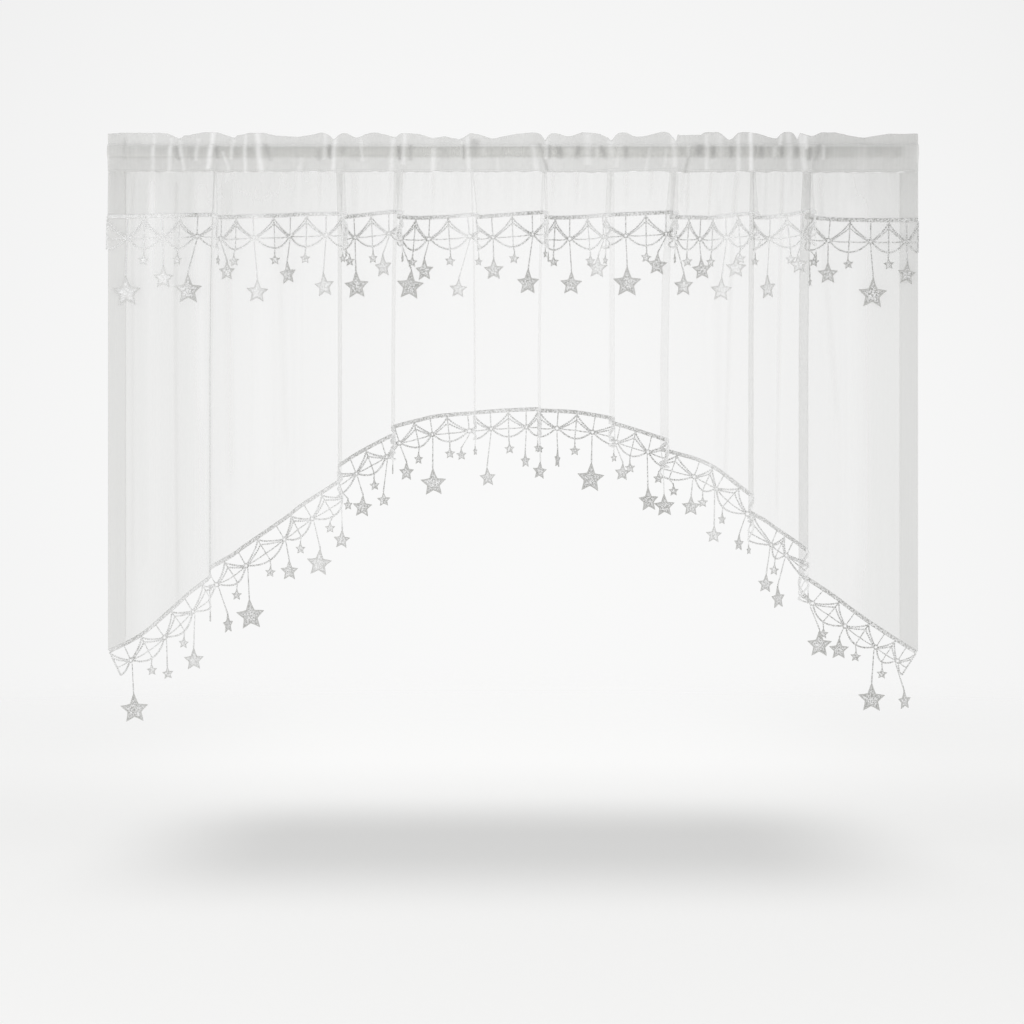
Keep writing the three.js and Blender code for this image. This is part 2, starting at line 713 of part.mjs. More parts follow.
// A lace trim sewn along an edge of the cloth
function laceTrim(curve, rosettes, depth, out) {
  const length = curve.getLength();
  const { outline, holes, hangers } = lacePattern(curve, rosettes, depth);
  const onCloth = ([place, below]) => {
    const share = THREE.MathUtils.clamp(place / length, 0, 1);
    const point = curve.getPointAt(share);
    const tangent = curve.getTangentAt(share);
    const sunk = below + SEAM_GAP;
    return new THREE.Vector2(point.x - tangent.y * sunk, point.y + tangent.x * sunk);
  };
  const contour = outline.map(onCloth);
  const rings = holes.map((hole) => hole.map(onCloth));
  const faces = THREE.ShapeUtils.triangulateShape(contour, rings);
  const flat = [...contour, ...rings.flat()];
  const turning = faces.map(([a, b, c]) => (turnOf(flat[a], flat[b], flat[c]) > 0 ? [a, b, c] : [a, c, b]));
  let triangles = roundTriangles(flat, turning).map(([a, b, c]) => [a, c, b]);
  const indexOf = new Map(outline.map((point, index) => [point.join(), index]));
  const half = STRING_WIDTH / 2;
  const roots = hangers.map((hanger) => [-half, half].map((side) => {
    return indexOf.get([hanger.place + side, hanger.depth].join());
  }));
  const strings = roots.map(([left, right]) => (flat[left].x + flat[right].x) / 2);
  for (const line of turningLines(strings)) {
    triangles = splitAt(flat, triangles, line);
  }
  const skip = new Set(roots.flatMap(([left, right]) => [`${left},${right}`, `${right},${left}`]));
  const mesh = hangFlat(flat, triangles, out, LACE_THICK, skip);
  const count = flat.length;
  hangers.forEach((hanger, index) => {
    const [left, right] = roots[index];
    const root = flat[left].clone().lerp(flat[right], 0.5);
    addStar(mesh, [left, right, count + left, count + right], root, hanger.star, out);
  });
  return toGeometry(mesh);
}

// A bump of height 1 at a place, falling to 0 at a distance
function bump(x, place, reach) {
  const t = Math.abs(x - place) / reach;
  return t < 1 ? (1 + Math.cos(Math.PI * t)) / 2 : 0;
}

// Stations of the heading along the rod: beside and on each fold
function headingStations() {
  const stations = [-HUNG_WIDTH / 2];
  for (const fold of FOLDS) {
    const reach = Math.max(fold.width / 2, GATHER_REACH - 1);
    const beside = fold.lap > 0 ? [fold.across - reach, fold.across + reach] : [];
    stations.push(fold.across, ...beside);
  }
  stations.push(HUNG_WIDTH / 2);
  return stations.sort((a, b) => a - b);
}

// The heading's section at one station, its room side first
function headingSection(side, x) {
  const gather = FOLDS.reduce((sum, fold) => sum + bump(x, fold.across, GATHER_REACH), 0);
  const notch = FOLDS.reduce((sum, fold) => sum + fold.dip * bump(x, fold.across, NOTCH_REACH), 0);
  const wave = RUFFLE_WAVE * Math.sin((2 * Math.PI * x) / RUFFLE_PITCH);
  const stretch = (row, facing) => {
    const inRuffle = row.down < STITCH_LINE;
    const onWall = row.down > STITCH_LINE && row.down < HEADING_FOOT;
    const bulge = onWall ? GATHER_BULGE * gather : 0;
    const back = -facing * (row.forward + bulge) + (inRuffle ? wave : 0);
    return new THREE.Vector3(x, back, -row.down - (inRuffle ? notch : 0));
  };
  const front = side.map((row) => stretch(row, 1));
  const rear = side.filter((row) => row.forward > 0).map((row) => stretch(row, -1));
  return [...front, ...rear.reverse()];
}

// The rod pocket with its ruffle: a sleeve of cloth, open at both ends
function heading() {
  const stations = headingStations();
  const outside = stations.map((x) => headingSection(SLEEVE_OUTSIDE, x));
  const inside = stations.map((x) => headingSection(SLEEVE_INSIDE, x));
  const positions = [...outside.flat(), ...inside.flat()];
  const indices = [];
  const outer = outside[0].length;
  const inner = inside[0].length;
  const insideStart = outside.length * outer;
  const wrap = (start, size, flip) => {
    for (let i = 0; i < stations.length - 1; i += 1) {
      for (let j = 0; j < size; j += 1) {
        const a = start + i * size + j;
        const b = start + i * size + ((j + 1) % size);
        const quad = [a, b, b + size, a, b + size, a + size];
        indices.push(...(flip ? quad.reverse() : quad));
      }
    }
  };
  wrap(0, outer, false);
  wrap(insideStart, inner, true);
  for (const end of [0, stations.length - 1]) {
    const contour = outside[end].map((point) => new THREE.Vector2(point.y, point.z));
    const hole = inside[end].map((point) => new THREE.Vector2(point.y, point.z));
    const numbers = [
      ...contour.map((_, j) => end * outer + j),
      ...hole.map((_, j) => insideStart + end * inner + j),
    ];
    const flat = [...contour, ...hole];
    for (const [a, b, c] of THREE.ShapeUtils.triangulateShape(contour, [hole])) {
      const facesRight = turnOf(flat[a], flat[b], flat[c]) > 0;
      const wantsRight = end > 0;
      const face = facesRight === wantsRight ? [a, b, c] : [a, c, b];
      indices.push(...face.map((index) => numbers[index]));
    }
  }
  return toGeometry({ positions, indices });
}

function rod() {
  const geometry = new THREE.CylinderGeometry(ROD_RADIUS, ROD_RADIUS, ROD_LENGTH, ROD_SIDES);
  geometry.rotateZ(Math.PI / 2);
  return geometry;
}

const hem = hemCurve();
const overlayEdge = overlayCurve();
const panelHeights = HANG.slice(1).map((row) => row.down);
const panelOut = () => 0;

const curtain = new THREE.Group();
curtain.name = 'cafe_curtain';
curtain.add(namedMesh('rod', rod(), ROD_PAINT));
curtain.add(namedMesh('heading', heading(), VOILE));
curtain.add(namedMesh('panel', clothSheet(hem, panelHeights, panelOut), VOILE));
curtain.add(namedMesh('overlay', clothSheet(overlayEdge, [], overlayOut), VOILE));
const upperLace = laceTrim(overlayEdge, UPPER_ROSETTES, UPPER_NET_DEPTH, overlayOut);
const lowerLace = laceTrim(hem, LOWER_ROSETTES, LOWER_NET_DEPTH, panelOut);
curtain.add(namedMesh('upper_lace', upperLace, LACE));
curtain.add(namedMesh('lower_lace', lowerLace, LACE));

export default curtain;
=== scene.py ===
"""Cafe curtain on a curtain rod, dressed over its solids.

A sheer voile panel with an arched hem hangs from a gathered rod pocket, with a short voile
overlay in front of it. Both edges carry a trim of star lace. Tables are in millimetres: "along"
is a distance from the left edge on the flat cloth, "across" one from the rod's middle, "down" a
height below the rod's axis, and "out" a distance in front of the panel. Meshes are in metres, in
the frame of the solids.
"""

import logging
import math
import random
from collections.abc import Callable
from dataclasses import dataclass, field
from enum import Enum
from functools import partial

import bmesh
import bpy
import numpy as np
from bmesh.types import BMEdge, BMesh, BMVert
from bpy.types import Material, Mesh, Node, NodeTree, Object
from mathutils import Matrix, Vector
from mathutils.kdtree import KDTree


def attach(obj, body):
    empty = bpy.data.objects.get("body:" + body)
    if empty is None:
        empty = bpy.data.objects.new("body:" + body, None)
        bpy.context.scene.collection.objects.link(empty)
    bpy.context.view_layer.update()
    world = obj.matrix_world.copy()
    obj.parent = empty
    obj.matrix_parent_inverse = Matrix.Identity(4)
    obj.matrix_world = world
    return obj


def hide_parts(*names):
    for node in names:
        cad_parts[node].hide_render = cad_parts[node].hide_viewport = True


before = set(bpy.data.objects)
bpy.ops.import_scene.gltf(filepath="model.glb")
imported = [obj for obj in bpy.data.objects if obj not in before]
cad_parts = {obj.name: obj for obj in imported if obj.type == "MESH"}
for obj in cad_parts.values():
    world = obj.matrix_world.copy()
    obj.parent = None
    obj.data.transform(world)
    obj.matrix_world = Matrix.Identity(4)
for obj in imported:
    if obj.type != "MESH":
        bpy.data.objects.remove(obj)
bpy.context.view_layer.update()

LOG = logging.getLogger("cafe_curtain")
MM = 0.001
BODY = "root"
WHITE = (1.0, 1.0, 1.0, 1.0)

Table = tuple[tuple[float, ...], ...]
Array = np.ndarray
Outward = Callable[[Array], Array]
Adder = Callable[..., Node]


class Side(Enum):
    """Which way a garland runs from its rosette."""

    LEFT = -1
    RIGHT = 1


class Slot(Enum):
    """The record's material slots."""

    ROD = "rod_paint"
    VOILE = "voile"
    LACE = "lace"


@dataclass(frozen=True)
class Fold:
    """One fold of the hung cloth: a lapped fold has a lap, and a soft one a width."""

    across: float
    depth: float
    lap: float
    width: float
    lean: float
    lift: float


@dataclass(frozen=True)
class Crease:
    """A soft ridge of the cloth, or a trough where its height is minus."""

    across: float
    across_low: float
    width: float
    height: float
    top: float
    foot: float


@dataclass(frozen=True)
class Gather:
    """A gather of the heading: a ridge, or a pinched trough where its height is minus."""

    across: float
    width: float
    height: float
    slant: float
    top: float
    foot: float


@dataclass(frozen=True)
class Rosette:
    """One rosette of a trim and the star that hangs from it."""

    along: float
    reach: float
    string: float
    aside: float
    turn: float


@dataclass(frozen=True)
class Cord:
    """A cord of the lace: half its thickness, the swell of its beads and their spacing."""

    size: float
    bead: float = 0.0
    pitch: float = 3.0

    def swell(self, run: Array) -> Array:
        """Give half the thickness at distances along the cord."""
        return self.size * (1 + self.bead * np.cos(2 * math.pi * run / self.pitch))


FOLDS = tuple(Fold(*row) for row in (
    (-567, 3, 0, 26, 0, 0), (-497, 9, 0, 40, -4, 1), (-442, 26, 4, 0, -6, 1),
    (-396, -7, 0, 32, 0, 0), (-339, 11, 0, 44, 0, 2), (-257, 40, 10, 0, 0, 2),
    (-171, 38, 9, 0, -7, 5), (-116, -8, 0, 40, -4, -2), (-62, 26, 4, 0, 5, 1),
    (46, 38, 6, 0, -8, 4), (92, -8, 0, 34, 0, 0), (147, -31, 10, 0, 0, 4),
    (238, 42, 11, 0, -14, 4), (298, 10, 0, 34, -7, -1), (355, 36, 7, 0, -3, 2.5),
    (394, -9, 0, 26, -2, -1), (436, 48, 13, 0, -6, 5), (505, -5, 0, 48, 0, -4),
))

# How far the folds are open and lean: down, share of depth, share of lean.
HANG = (
    (29.6, 0.38, 0), (92, 0.85, 0.45), (170, 1, 0.8), (300, 1, 1),
)

# The arched hem: share of the flat width, down.
HEM = (
    (0, 736), (0.035, 706), (0.08, 649), (0.142, 582), (0.21, 511), (0.283, 443), (0.36, 397),
    (0.43, 382), (0.53, 378), (0.6, 392), (0.702, 437), (0.751, 467), (0.79, 515), (0.857, 577),
    (0.903, 628), (0.952, 687), (1, 738),
)

UPPER_ROSETTES = tuple(Rosette(*row) for row in (
    (30, 22.5, 50, 0, 12), (85.4, 16.4, 37, 1.5, -14), (144, 22, 49, -5, 18),
    (200, 16.4, 27, 0, -8), (252.3, 17.5, 55, 4.4, 10), (314.3, 16.4, 31.5, -0.7, 0),
    (368.8, 17.5, 49.5, 4, -16), (412, 8.6, 10, 0, 0), (458, 20.5, 43.5, 1.5, 6),
    (517, 16.4, 25, -1.5, -12), (577, 22, 40.5, 11, 8), (628.2, 16.4, 22.5, -3.7, 0),
    (681.3, 17.5, 56, -3, 14), (742.3, 16.4, 24.5, -1.5, 5), (808.6, 22, 44.5, 3, -6),
    (857, 8.6, 10, 0, 0), (906, 17.5, 42, 2.8, 6), (959.5, 16.4, 22.5, -3.7, -10),
    (1031, 22.5, 39, 0, 4), (1090.7, 16.4, 22, -0.7, 16), (1157, 20, 45.5, 0, -14),
    (1192.5, 16.4, 21.4, 4, 4), (1241.9, 17.5, 53, -4, 12), (1274, 16.4, 24, -8, 10),
    (1351.9, 17.5, 48, 1.5, -8), (1405.6, 14, 25, 0, 30), (1449, 8.6, 54, 0, 0),
    (1504.9, 16.4, 25.6, 0, 6), (1566.2, 22.5, 47, 2.2, -4), (1620, 16.4, 25, 0, 28),
))

LOWER_ROSETTES = tuple(Rosette(*row) for row in (
    (34.4, 22, 42, 4.4, 16), (90.6, 9.5, 38, 1.9, 10), (138.9, 16.4, 48, 5.9, 34),
    (196, 14, 38, 4.7, 78), (239.6, 22.5, 43, 4.4, 4), (299.7, 15, 25, 7.4, 12),
    (348.5, 20, 38, 8, 20), (400, 14, 42, -2, 24), (463.2, 16.4, 26, 8.4, 14),
    (518.1, 16.4, 46, 4.7, 22), (579.1, 14, 22, 4, -18), (633, 20.5, 43, 1.5, 10),
    (681.9, 13, 20, 1.8, 34), (741.2, 14, 51, -7.7, 48), (804.2, 11, 32, -2.7, 66),
    (845, 13, 45, 0, 32), (885.9, 13, 26, 0.9, 80), (941.7, 22, 38, -2.7, 4),
    (1014.2, 13.5, 25, 0, 20), (1069.2, 17.5, 46, 1.8, 24), (1128, 17, 38, -3.3, 8),
    (1188.2, 15, 22, -3, 10), (1224.2, 13, 49, 0, 38), (1270.9, 12, 25, -3.7, 68),
    (1351, 14, 37.5, -7, 62), (1379, 16, 40.5, -11, 70), (1484.4, 22.5, 34, 0, 12),
    (1529.3, 16, 12, -6, 24), (1575.6, 21.5, 47, -3.9, -16), (1607, 14, 38, 13, 44),
))

CREASES = tuple(Crease(*row) for row in (
    (-563, -563, 5.6, 1.2, 30, 640), (-548.2, -548.2, 14.8, 1, 30, 640),
    (-534.8, -534.8, 7.4, -1.3, 30, 200), (-498.5, -499.3, 5.6, 1.9, 30, 700),
    (-478.5, -478.5, 16.7, 0.5, 30, 600), (-462, -460, 13, -0.7, 30, 420),
    (-424, -420, 12, 1, 30, 520), (-371.9, -371.9, 22.2, -0.5, 90, 500),
    (-371.9, -368.9, 7.4, -0.9, 20, 70), (-349.6, -339.3, 9.3, 1, 100, 460),
    (-285.9, -285.9, 4.6, 1.1, 20, 105), (-271.1, -269.6, 2.8, 0.9, 20, 60),
    (-235.6, -232.6, 9.3, 0.8, 20, 120), (-182.2, -188.2, 3.7, 1, 20, 95),
    (-165.9, -171.9, 3.7, 1.5, 20, 85), (-118.5, -114.1, 3.7, 1.2, 20, 110),
    (57.8, 57.8, 3.7, 1, 20, 95), (94.8, 85.9, 4.6, 1.1, 20, 95),
    (167.4, 167.4, 7.4, 0.6, 20, 110), (203, 203, 3.7, 0.9, 20, 85),
    (250.4, 244.4, 4.6, 1.3, 20, 90), (259.3, 256.3, 3.7, 1.5, 20, 120),
    (291.9, 287.4, 3.7, 1.1, 20, 150), (306.7, 303.7, 13, 0.5, 60, 480),
    (328.9, 315.6, 5.6, 1.5, 20, 540), (374.8, 373.3, 5.6, 0.6, 20, 120),
    (398.5, 391.1, 5.6, 1.5, 20, 560), (411.9, 408.9, 5.6, 0.7, 20, 95),
    (456.3, 481.5, 7.4, 0.9, 20, 420), (514.1, 514.1, 25.9, -0.4, 60, 640),
))

GATHERS = tuple(Gather(*row) for row in (
    (-574.8, 2.8, -1.4, 0, -22.2, 11.9), (-531.9, 4.6, 1.6, -0.7, -28.1, 41.5),
    (-506.7, 4.6, 1.8, -2.2, -22.2, 29.6), (-497, 5.2, -2.7, 4.4, -8.9, 11.9),
    (-490.4, 4.1, 1.6, 4.4, -22.2, 29.6), (-476.3, 5.2, -1.4, 0, -8.9, 11.9),
    (-467.4, 4.6, 1.4, -3, -20.7, 14.8), (-447.4, 5.7, 2.6, -3.7, -31.1, 26.7),
    (-437.8, 5.2, -2.7, 0, -8.9, 8.9), (-428.9, 3.7, 1.4, 8.9, 0, 29.6),
    (-415.6, 4.1, 1.8, -2.2, -23.7, 11.9), (-410.4, 9.5, -1.2, 0, -7.4, 8.9),
    (-396.3, 4.1, 2.1, 0, -29.6, 35.6), (-388.2, 9.5, -1.2, 0, -7.4, 8.9),
    (-375.6, 6.9, 2.4, 3, -29.6, 44.4), (-363, 6.6, -1.8, 8.9, -12, 11.9),
    (-309.6, 5.7, 1.3, -7.4, 8.9, 29.6), (-287.4, 7.1, -1.8, 0, -3, 11.9),
    (-278.5, 4.6, 1.6, 0, -29.6, 11.9), (-271.1, 5.7, -3.3, 0, -10.4, 8.9),
    (-264.4, 5.1, 2.4, -1.5, -28.1, 29.6), (-251.9, 7.1, -1.8, 0, -8.9, 5.9),
    (-231.1, 9.5, -0.9, 0, -3, 11.9), (-223.7, 3.7, 1.8, 2.2, -22.2, 14.8),
    (-178.5, 5.7, 2.1, -1.5, -26.7, 29.6), (-168.2, 5.7, -3.3, 2.2, -8.9, 11.9),
    (-161.5, 4.6, 2.2, -1.5, -31.1, 19.3), (-151.9, 6.2, -2.1, 0, -11, 11.9),
    (-117, 5.7, 2.4, -1.5, -5.9, 29.6), (-102.2, 11.9, -1, 0, -7.4, 8.9),
    (-76.3, 3.4, 1.4, 0, -20.7, 8.9), (-73.3, 4.3, -2.7, 0, -10.4, 10.4),
    (-66.7, 5.1, 2.2, 1.5, -26.7, 29.6), (-56.3, 11.9, -1.8, 0, -20.7, 8.9),
    (-43, 4.6, 1.1, 0, -7.4, 8.9), (-32.6, 7.1, -0.9, 0, -7.4, 8.9), (-22.2, 4.6, 1, 0, 8.9, 29.6),
    (-16.3, 7.1, -0.8, 0, -7.4, 8.9), (17.8, 9.5, -0.6, 0, -7.4, 8.9),
    (31.1, 6.9, 1.9, 4.4, -10.4, 29.6), (43, 4.7, -1.8, 8.9, -13.3, 26.7),
    (49.6, 4.6, 1.9, -1.5, -23.7, 11.9), (53.3, 6.2, -3, 0, -10.4, 8.9),
    (68.9, 9.5, -3, 5.9, -8.9, 8.9), (83, 8, 1.3, 0, -7.4, 8.9),
    (96.3, 7.6, -2.7, -5.9, -8.9, 8.9), (111.1, 8, 1.6, 0, -28.1, 19.3),
    (117, 4.7, -1.8, 0, -5.9, 8.9), (124.4, 4.1, 1.4, 0, -7.4, 8.9),
    (133.3, 7.1, -2.7, 8.9, -8.9, 8.9), (145.2, 6.9, 1.9, 1.5, -23.7, 8.9),
    (157, 4.6, 1.4, -5.9, -10.4, 23.7), (167.4, 6.2, -2.4, 0, -8.9, 8.9),
    (194.1, 9.5, -0.8, 0, -7.4, 8.9), (201.5, 4.1, 1.3, -5.9, -5.9, 29.6),
    (226.7, 4.1, 1.1, -4.4, -5.9, 23.7), (238.5, 5.7, 1.9, 1.5, -28.1, 23.7),
    (250.4, 7.1, -1.2, 0, -8.9, 7.4), (259.3, 3.4, 1.4, 0, -8.9, 8.9),
    (262.2, 4.7, -1.8, -7.4, 0, 29.6), (275.6, 11.9, -3, -3, -10.4, 7.4),
    (286.7, 4.6, 1.6, 0, -26.7, 26.7), (296.3, 6.6, -3, 0, -8.9, 8.9),
    (306.7, 6.9, 1.1, 0, -26.7, 8.9), (323, 6.6, -2.7, 0, -8.9, 8.9),
    (333.3, 5.1, 1.8, 0, -28.1, 29.6), (342.2, 5.9, -1, 0, -8.9, 8.9),
    (351.9, 4.6, 2.6, 0, -31.1, 29.6), (359.3, 3.8, -2.2, 0, -10.4, 8.9),
    (367.4, 7.6, -2.8, 0, -8.9, 8.9), (379.3, 4.7, -1, 0, -7.4, 8.9),
    (386.7, 4.6, 1.3, 0, -7.4, 8.9), (393.3, 4.1, 1.6, -4.4, -28.1, -8.9),
    (397.8, 5.7, -2.8, 0, -8.9, 8.9), (408.9, 6.9, 1.4, 0, -29.6, 29.6),
    (420, 7.6, -2.4, 0, -8.9, 8.9), (428.2, 5.7, 1.8, 3, -31.1, 29.6),
    (434.1, 4.6, 2.1, 1.5, -28.1, -3), (439.3, 5.2, -2.8, 0, -7.4, 11.9),
    (451.1, 6.4, -2, -5.9, -11, 11.9), (459.3, 3.7, 1.3, 0, -8.9, 11.9),
    (465.2, 8.3, -1.5, 0, -7.4, 8.9), (517, 13.8, 0.6, 0, -8.9, 29.6),
    (528.9, 7.1, -0.6, 0, -7.4, 8.9), (565.9, 7.1, -0.8, 0, -7.4, 8.9),
))

# Painted shade: how much darker the cloth is drawn towards the sides, where the light
# falls off: across, share.
PAINTED_SIDE_SHADE = (
    (-600, 0.15), (-430, 0.14), (-300, 0.06), (-150, 0), (150, 0), (300, 0.08), (430, 0.2),
    (600, 0.28),
)

# The ruffle's top edge: across, how far it lies below its highest point.
RUFFLE = (
    (-600, 2.7), (-582.2, 1.2), (-523, 1.2), (-511.1, 2.1), (-494.8, 9.8), (-490.4, 8.3),
    (-487.4, 4.9), (-478.5, 4.3), (-457.8, 0.1), (-445.9, 0), (-438.5, 0.4), (-416.3, 7.7),
    (-411.9, 7.9), (-409.6, 5), (-392.6, 1.3), (-368.9, 1.2), (-351.1, 5.3), (-318.5, 7.3),
    (-283, 0.9), (-277, 2.4), (-271.1, 5.8), (-266.7, 10.5), (-263.7, 9.8), (-259.3, 5),
    (-253.3, 1.3), (-245.9, 1.8), (-238.5, 6.1), (-232.6, 8), (-226.7, 6.8), (-220.7, 3.9),
    (-211.9, 1.3), (-200, 1.2), (-185.2, 4.6), (-179.3, 6.8), (-173.3, 6.8), (-165.9, 1.3),
    (-140.7, 2.7), (-128.9, 6.1), (-120, 8.7), (-102.2, 6.8), (-84.4, 9.3), (-80, 10.5),
    (-71.1, 6.8), (-63.7, 1.3), (-48.9, 4.3), (-31.1, 9.5), (-25.2, 9), (-7.4, 4.6), (28.1, 0.4),
    (37, 1.6), (41.5, 3.9), (45.9, 9.8), (47.4, 12.4), (51.9, 5.3), (56.3, 1.9), (62.2, 1.6),
    (69.6, 2.8), (78.5, 6.1), (85.9, 6.5), (102.2, 0), (128.9, 2.8), (140.7, 8.3), (145.2, 12.4),
    (148.2, 9.8), (151.1, 5.3), (155.6, 1.6), (161.5, 0.4), (168.9, 1.3), (176.3, 5.3),
    (183.7, 7.1), (192.6, 6.5), (217.8, 0.1), (226.7, 0.1), (231.1, 1.6), (240, 11.3),
    (241.8, 14.2), (243.6, 3.1), (247.4, 4.6), (278.5, 4.1), (281.5, 1.3), (285.9, 0), (303.7, 0),
    (308.2, 2.4), (318.5, 10.8), (321.5, 11.3), (325.9, 9), (328.9, 5.3), (333.3, 1.3),
    (339.3, 0.1), (348.2, 0.1), (363, 1.9), (377.8, 7.1), (386.7, 9), (391.1, 9), (397, 2.7),
    (401.5, 0.4), (410.4, 0.1), (416.3, 2.4), (421.5, 10.5), (423.7, 3.9), (425.9, 0.9),
    (441.5, 5.6), (445.9, 5.3), (456.3, 0.6), (475.6, 0.4), (511.1, 7.6), (518.5, 8.3),
    (555.6, 2.8), (598.5, 2.4),
)

# How much of the view one layer of voile covers: across, share.
PANEL_COVER = (
    (-600, 0.45), (-568, 0.46), (-545, 0.3), (-510, 0.34), (-496, 0.42), (-484, 0.35), (-460, 0.3),
    (-430, 0.23), (-404, 0.205), (-340, 0.2), (-250, 0.14), (-100, 0.09), (120, 0.07), (230, 0.1),
    (330, 0.16), (400, 0.19), (500, 0.23), (530, 0.34), (600, 0.4),
)

OVERLAY_COVER = (
    (-600, 0.18), (-568, 0.2), (-545, 0.17), (-530, 0.14), (-455, 0.2), (-443, 0.11), (-430, 0.22),
    (-375, 0.28), (-300, 0.22), (-212, 0.17), (0, 0.18), (100, 0.2), (277, 0.19), (424, 0.18),
    (436, 0.12), (450, 0.18), (500, 0.17), (600, 0.2),
)

# Painted glint: how far the lace is drawn paler and glowing where it catches the light:
# across, share.
UPPER_PAINTED_GLINT = (
    (-585, 0.57), (-570, 0.53), (-538, 0.61), (-517, 0.66), (-490, 0.53), (-471, 0.1), (-450, 0.2),
    (-434, 0.37), (-404, 0.3), (-379, 0.66), (-356, 0.2), (-327, 0.15), (-295, 0.49), (-271, 0.53),
    (-255, 0.3), (-237, 0.05), (-209, 0.3), (-185, 0.5), (-167, 0.05), (-126, 0.05), (-93, 0.3),
    (-70, 0.65), (-50, 0.35), (-34, 0.3), (-3, 0.4), (22, 0.05), (47, 0.05), (87, 0.1), (117, 0.5),
    (133, 0.6), (153, 0.1), (188, 0.25), (203, 0.2), (221, 0), (241, 0.1), (256, 0.4), (276, 0.1),
    (295, 0.4), (311, 0.65), (341, 0.5), (360, 0.3), (385, 0.6), (406, 0.6), (431, 0.35),
    (447, 0.1), (532, 0), (593, 0.1),
)

# Painted glint of the lower trim: across, share.
LOWER_PAINTED_GLINT = (
    (-585, 0.35), (-561, 0.05), (-538, 0.4), (-514, 0.3), (-467, 0.45), (-439, 0.4), (-404, 0.15),
    (-387, 0.1), (-360, 0.2), (-330, 0.25), (-289, 0.45), (-255, 0.35), (-234, 0.1), (-182, 0.1),
    (-160, 0.2), (-119, 0.1), (-64, 0.35), (-37, 0.35), (16, 0.3), (34, 0.1), (65, 0.15),
    (116, 0.05), (153, 0.3), (200, 0), (233, 0.1), (265, 0.25), (301, 0.45), (341, 0.25),
    (375, 0.35), (410, 0.2), (437, 0.15), (481, 0.05), (535, 0), (559, 0.15), (585, 0.2),
)

# Small gathers of the hung cloth: pitch, seed, height.
FINE_GATHERS = ((17, 5, 0.5), (29, 6, 1.1))
BROAD_GATHERS = ((88, 7, 1.1),)


@dataclass(frozen=True)
class SewnSizes:
    """Sizes that the whole curtain shares, in millimetres."""

    width: float = 1200
    heading_foot: float = 29.6
    stitch_line: float = -12.4
    overlay_edge: float = 92
    overlay_end_sag: float = 5
    overlay_out_top: float = 1.7
    overlay_out_edge: float = 6
    trim_swing: float = 0.045
    bevel_across: float = 4.6
    bevel_back: float = 6.4
    crease_high: float = 50
    crease_low: float = 380
    lap_soft: float = 3
    side_hem: float = 28
    hem_soft: float = 1.5
    seam_gap: float = 1.4
    small_star: float = 8.6
    crease_share: float = 0.5
    gather_end: float = 95
    sway_full: float = 260
    crease_fades: tuple[float, float] = (24, 60)
    round_share: float = 0.3
    round_limits: tuple[float, float] = (2.0, 8.0)
    round_reach: float = 2.2
    round_taps: int = 11


SIZES = SewnSizes()


def read(table: Table, place: Array, column: int = 1) -> Array:
    """Read a column of a table at places of its first column."""
    return np.interp(place, [row[0] for row in table], [row[column] for row in table])


def smooth(share: Array) -> Array:
    """Hold a share between 0 and 1 and ease both its ends."""
    held = np.clip(share, 0, 1)
    return held * held * (3 - 2 * held)


def between(place: Array, low: float, high: float, soft: float) -> Array:
    """Give 1 between two places and 0 outside, with ends of a soft width."""
    return smooth((place - low) / soft + 0.5) * smooth((high - place) / soft + 0.5)


def hill(place: Array, middle: Array | float, reach: float) -> Array:
    """Give a soft bump, 1 high at its middle, that runs so far to each side."""
    share = np.clip(np.abs(place - middle) / reach, 0, 1)
    return (1 + np.cos(np.pi * share)) / 2


def ripple(place: Array, pitch: float, seed: int) -> Array:
    """Give an uneven wave between -1 and 1, the same each run.

    Args:
        place: Where it is read.
        pitch: About one wave's length.
        seed: Which wave it is.

    Returns:
        The wave's height at each place.
    """
    rng = random.Random(seed)
    total = np.zeros_like(place, dtype=float)
    for share in (0.61, 0.83, 1.0, 1.27, 1.73):
        phase = rng.uniform(0, 2 * math.pi)
        total = total + np.sin(place * 2 * math.pi * share / pitch + phase)
    return total / 3.2


def ripples(place: Array, waves: Table) -> Array:
    """Add up uneven waves, given as rows of pitch, seed and height."""
    return sum(ripple(place, pitch, seed) * height for pitch, seed, height in waves)


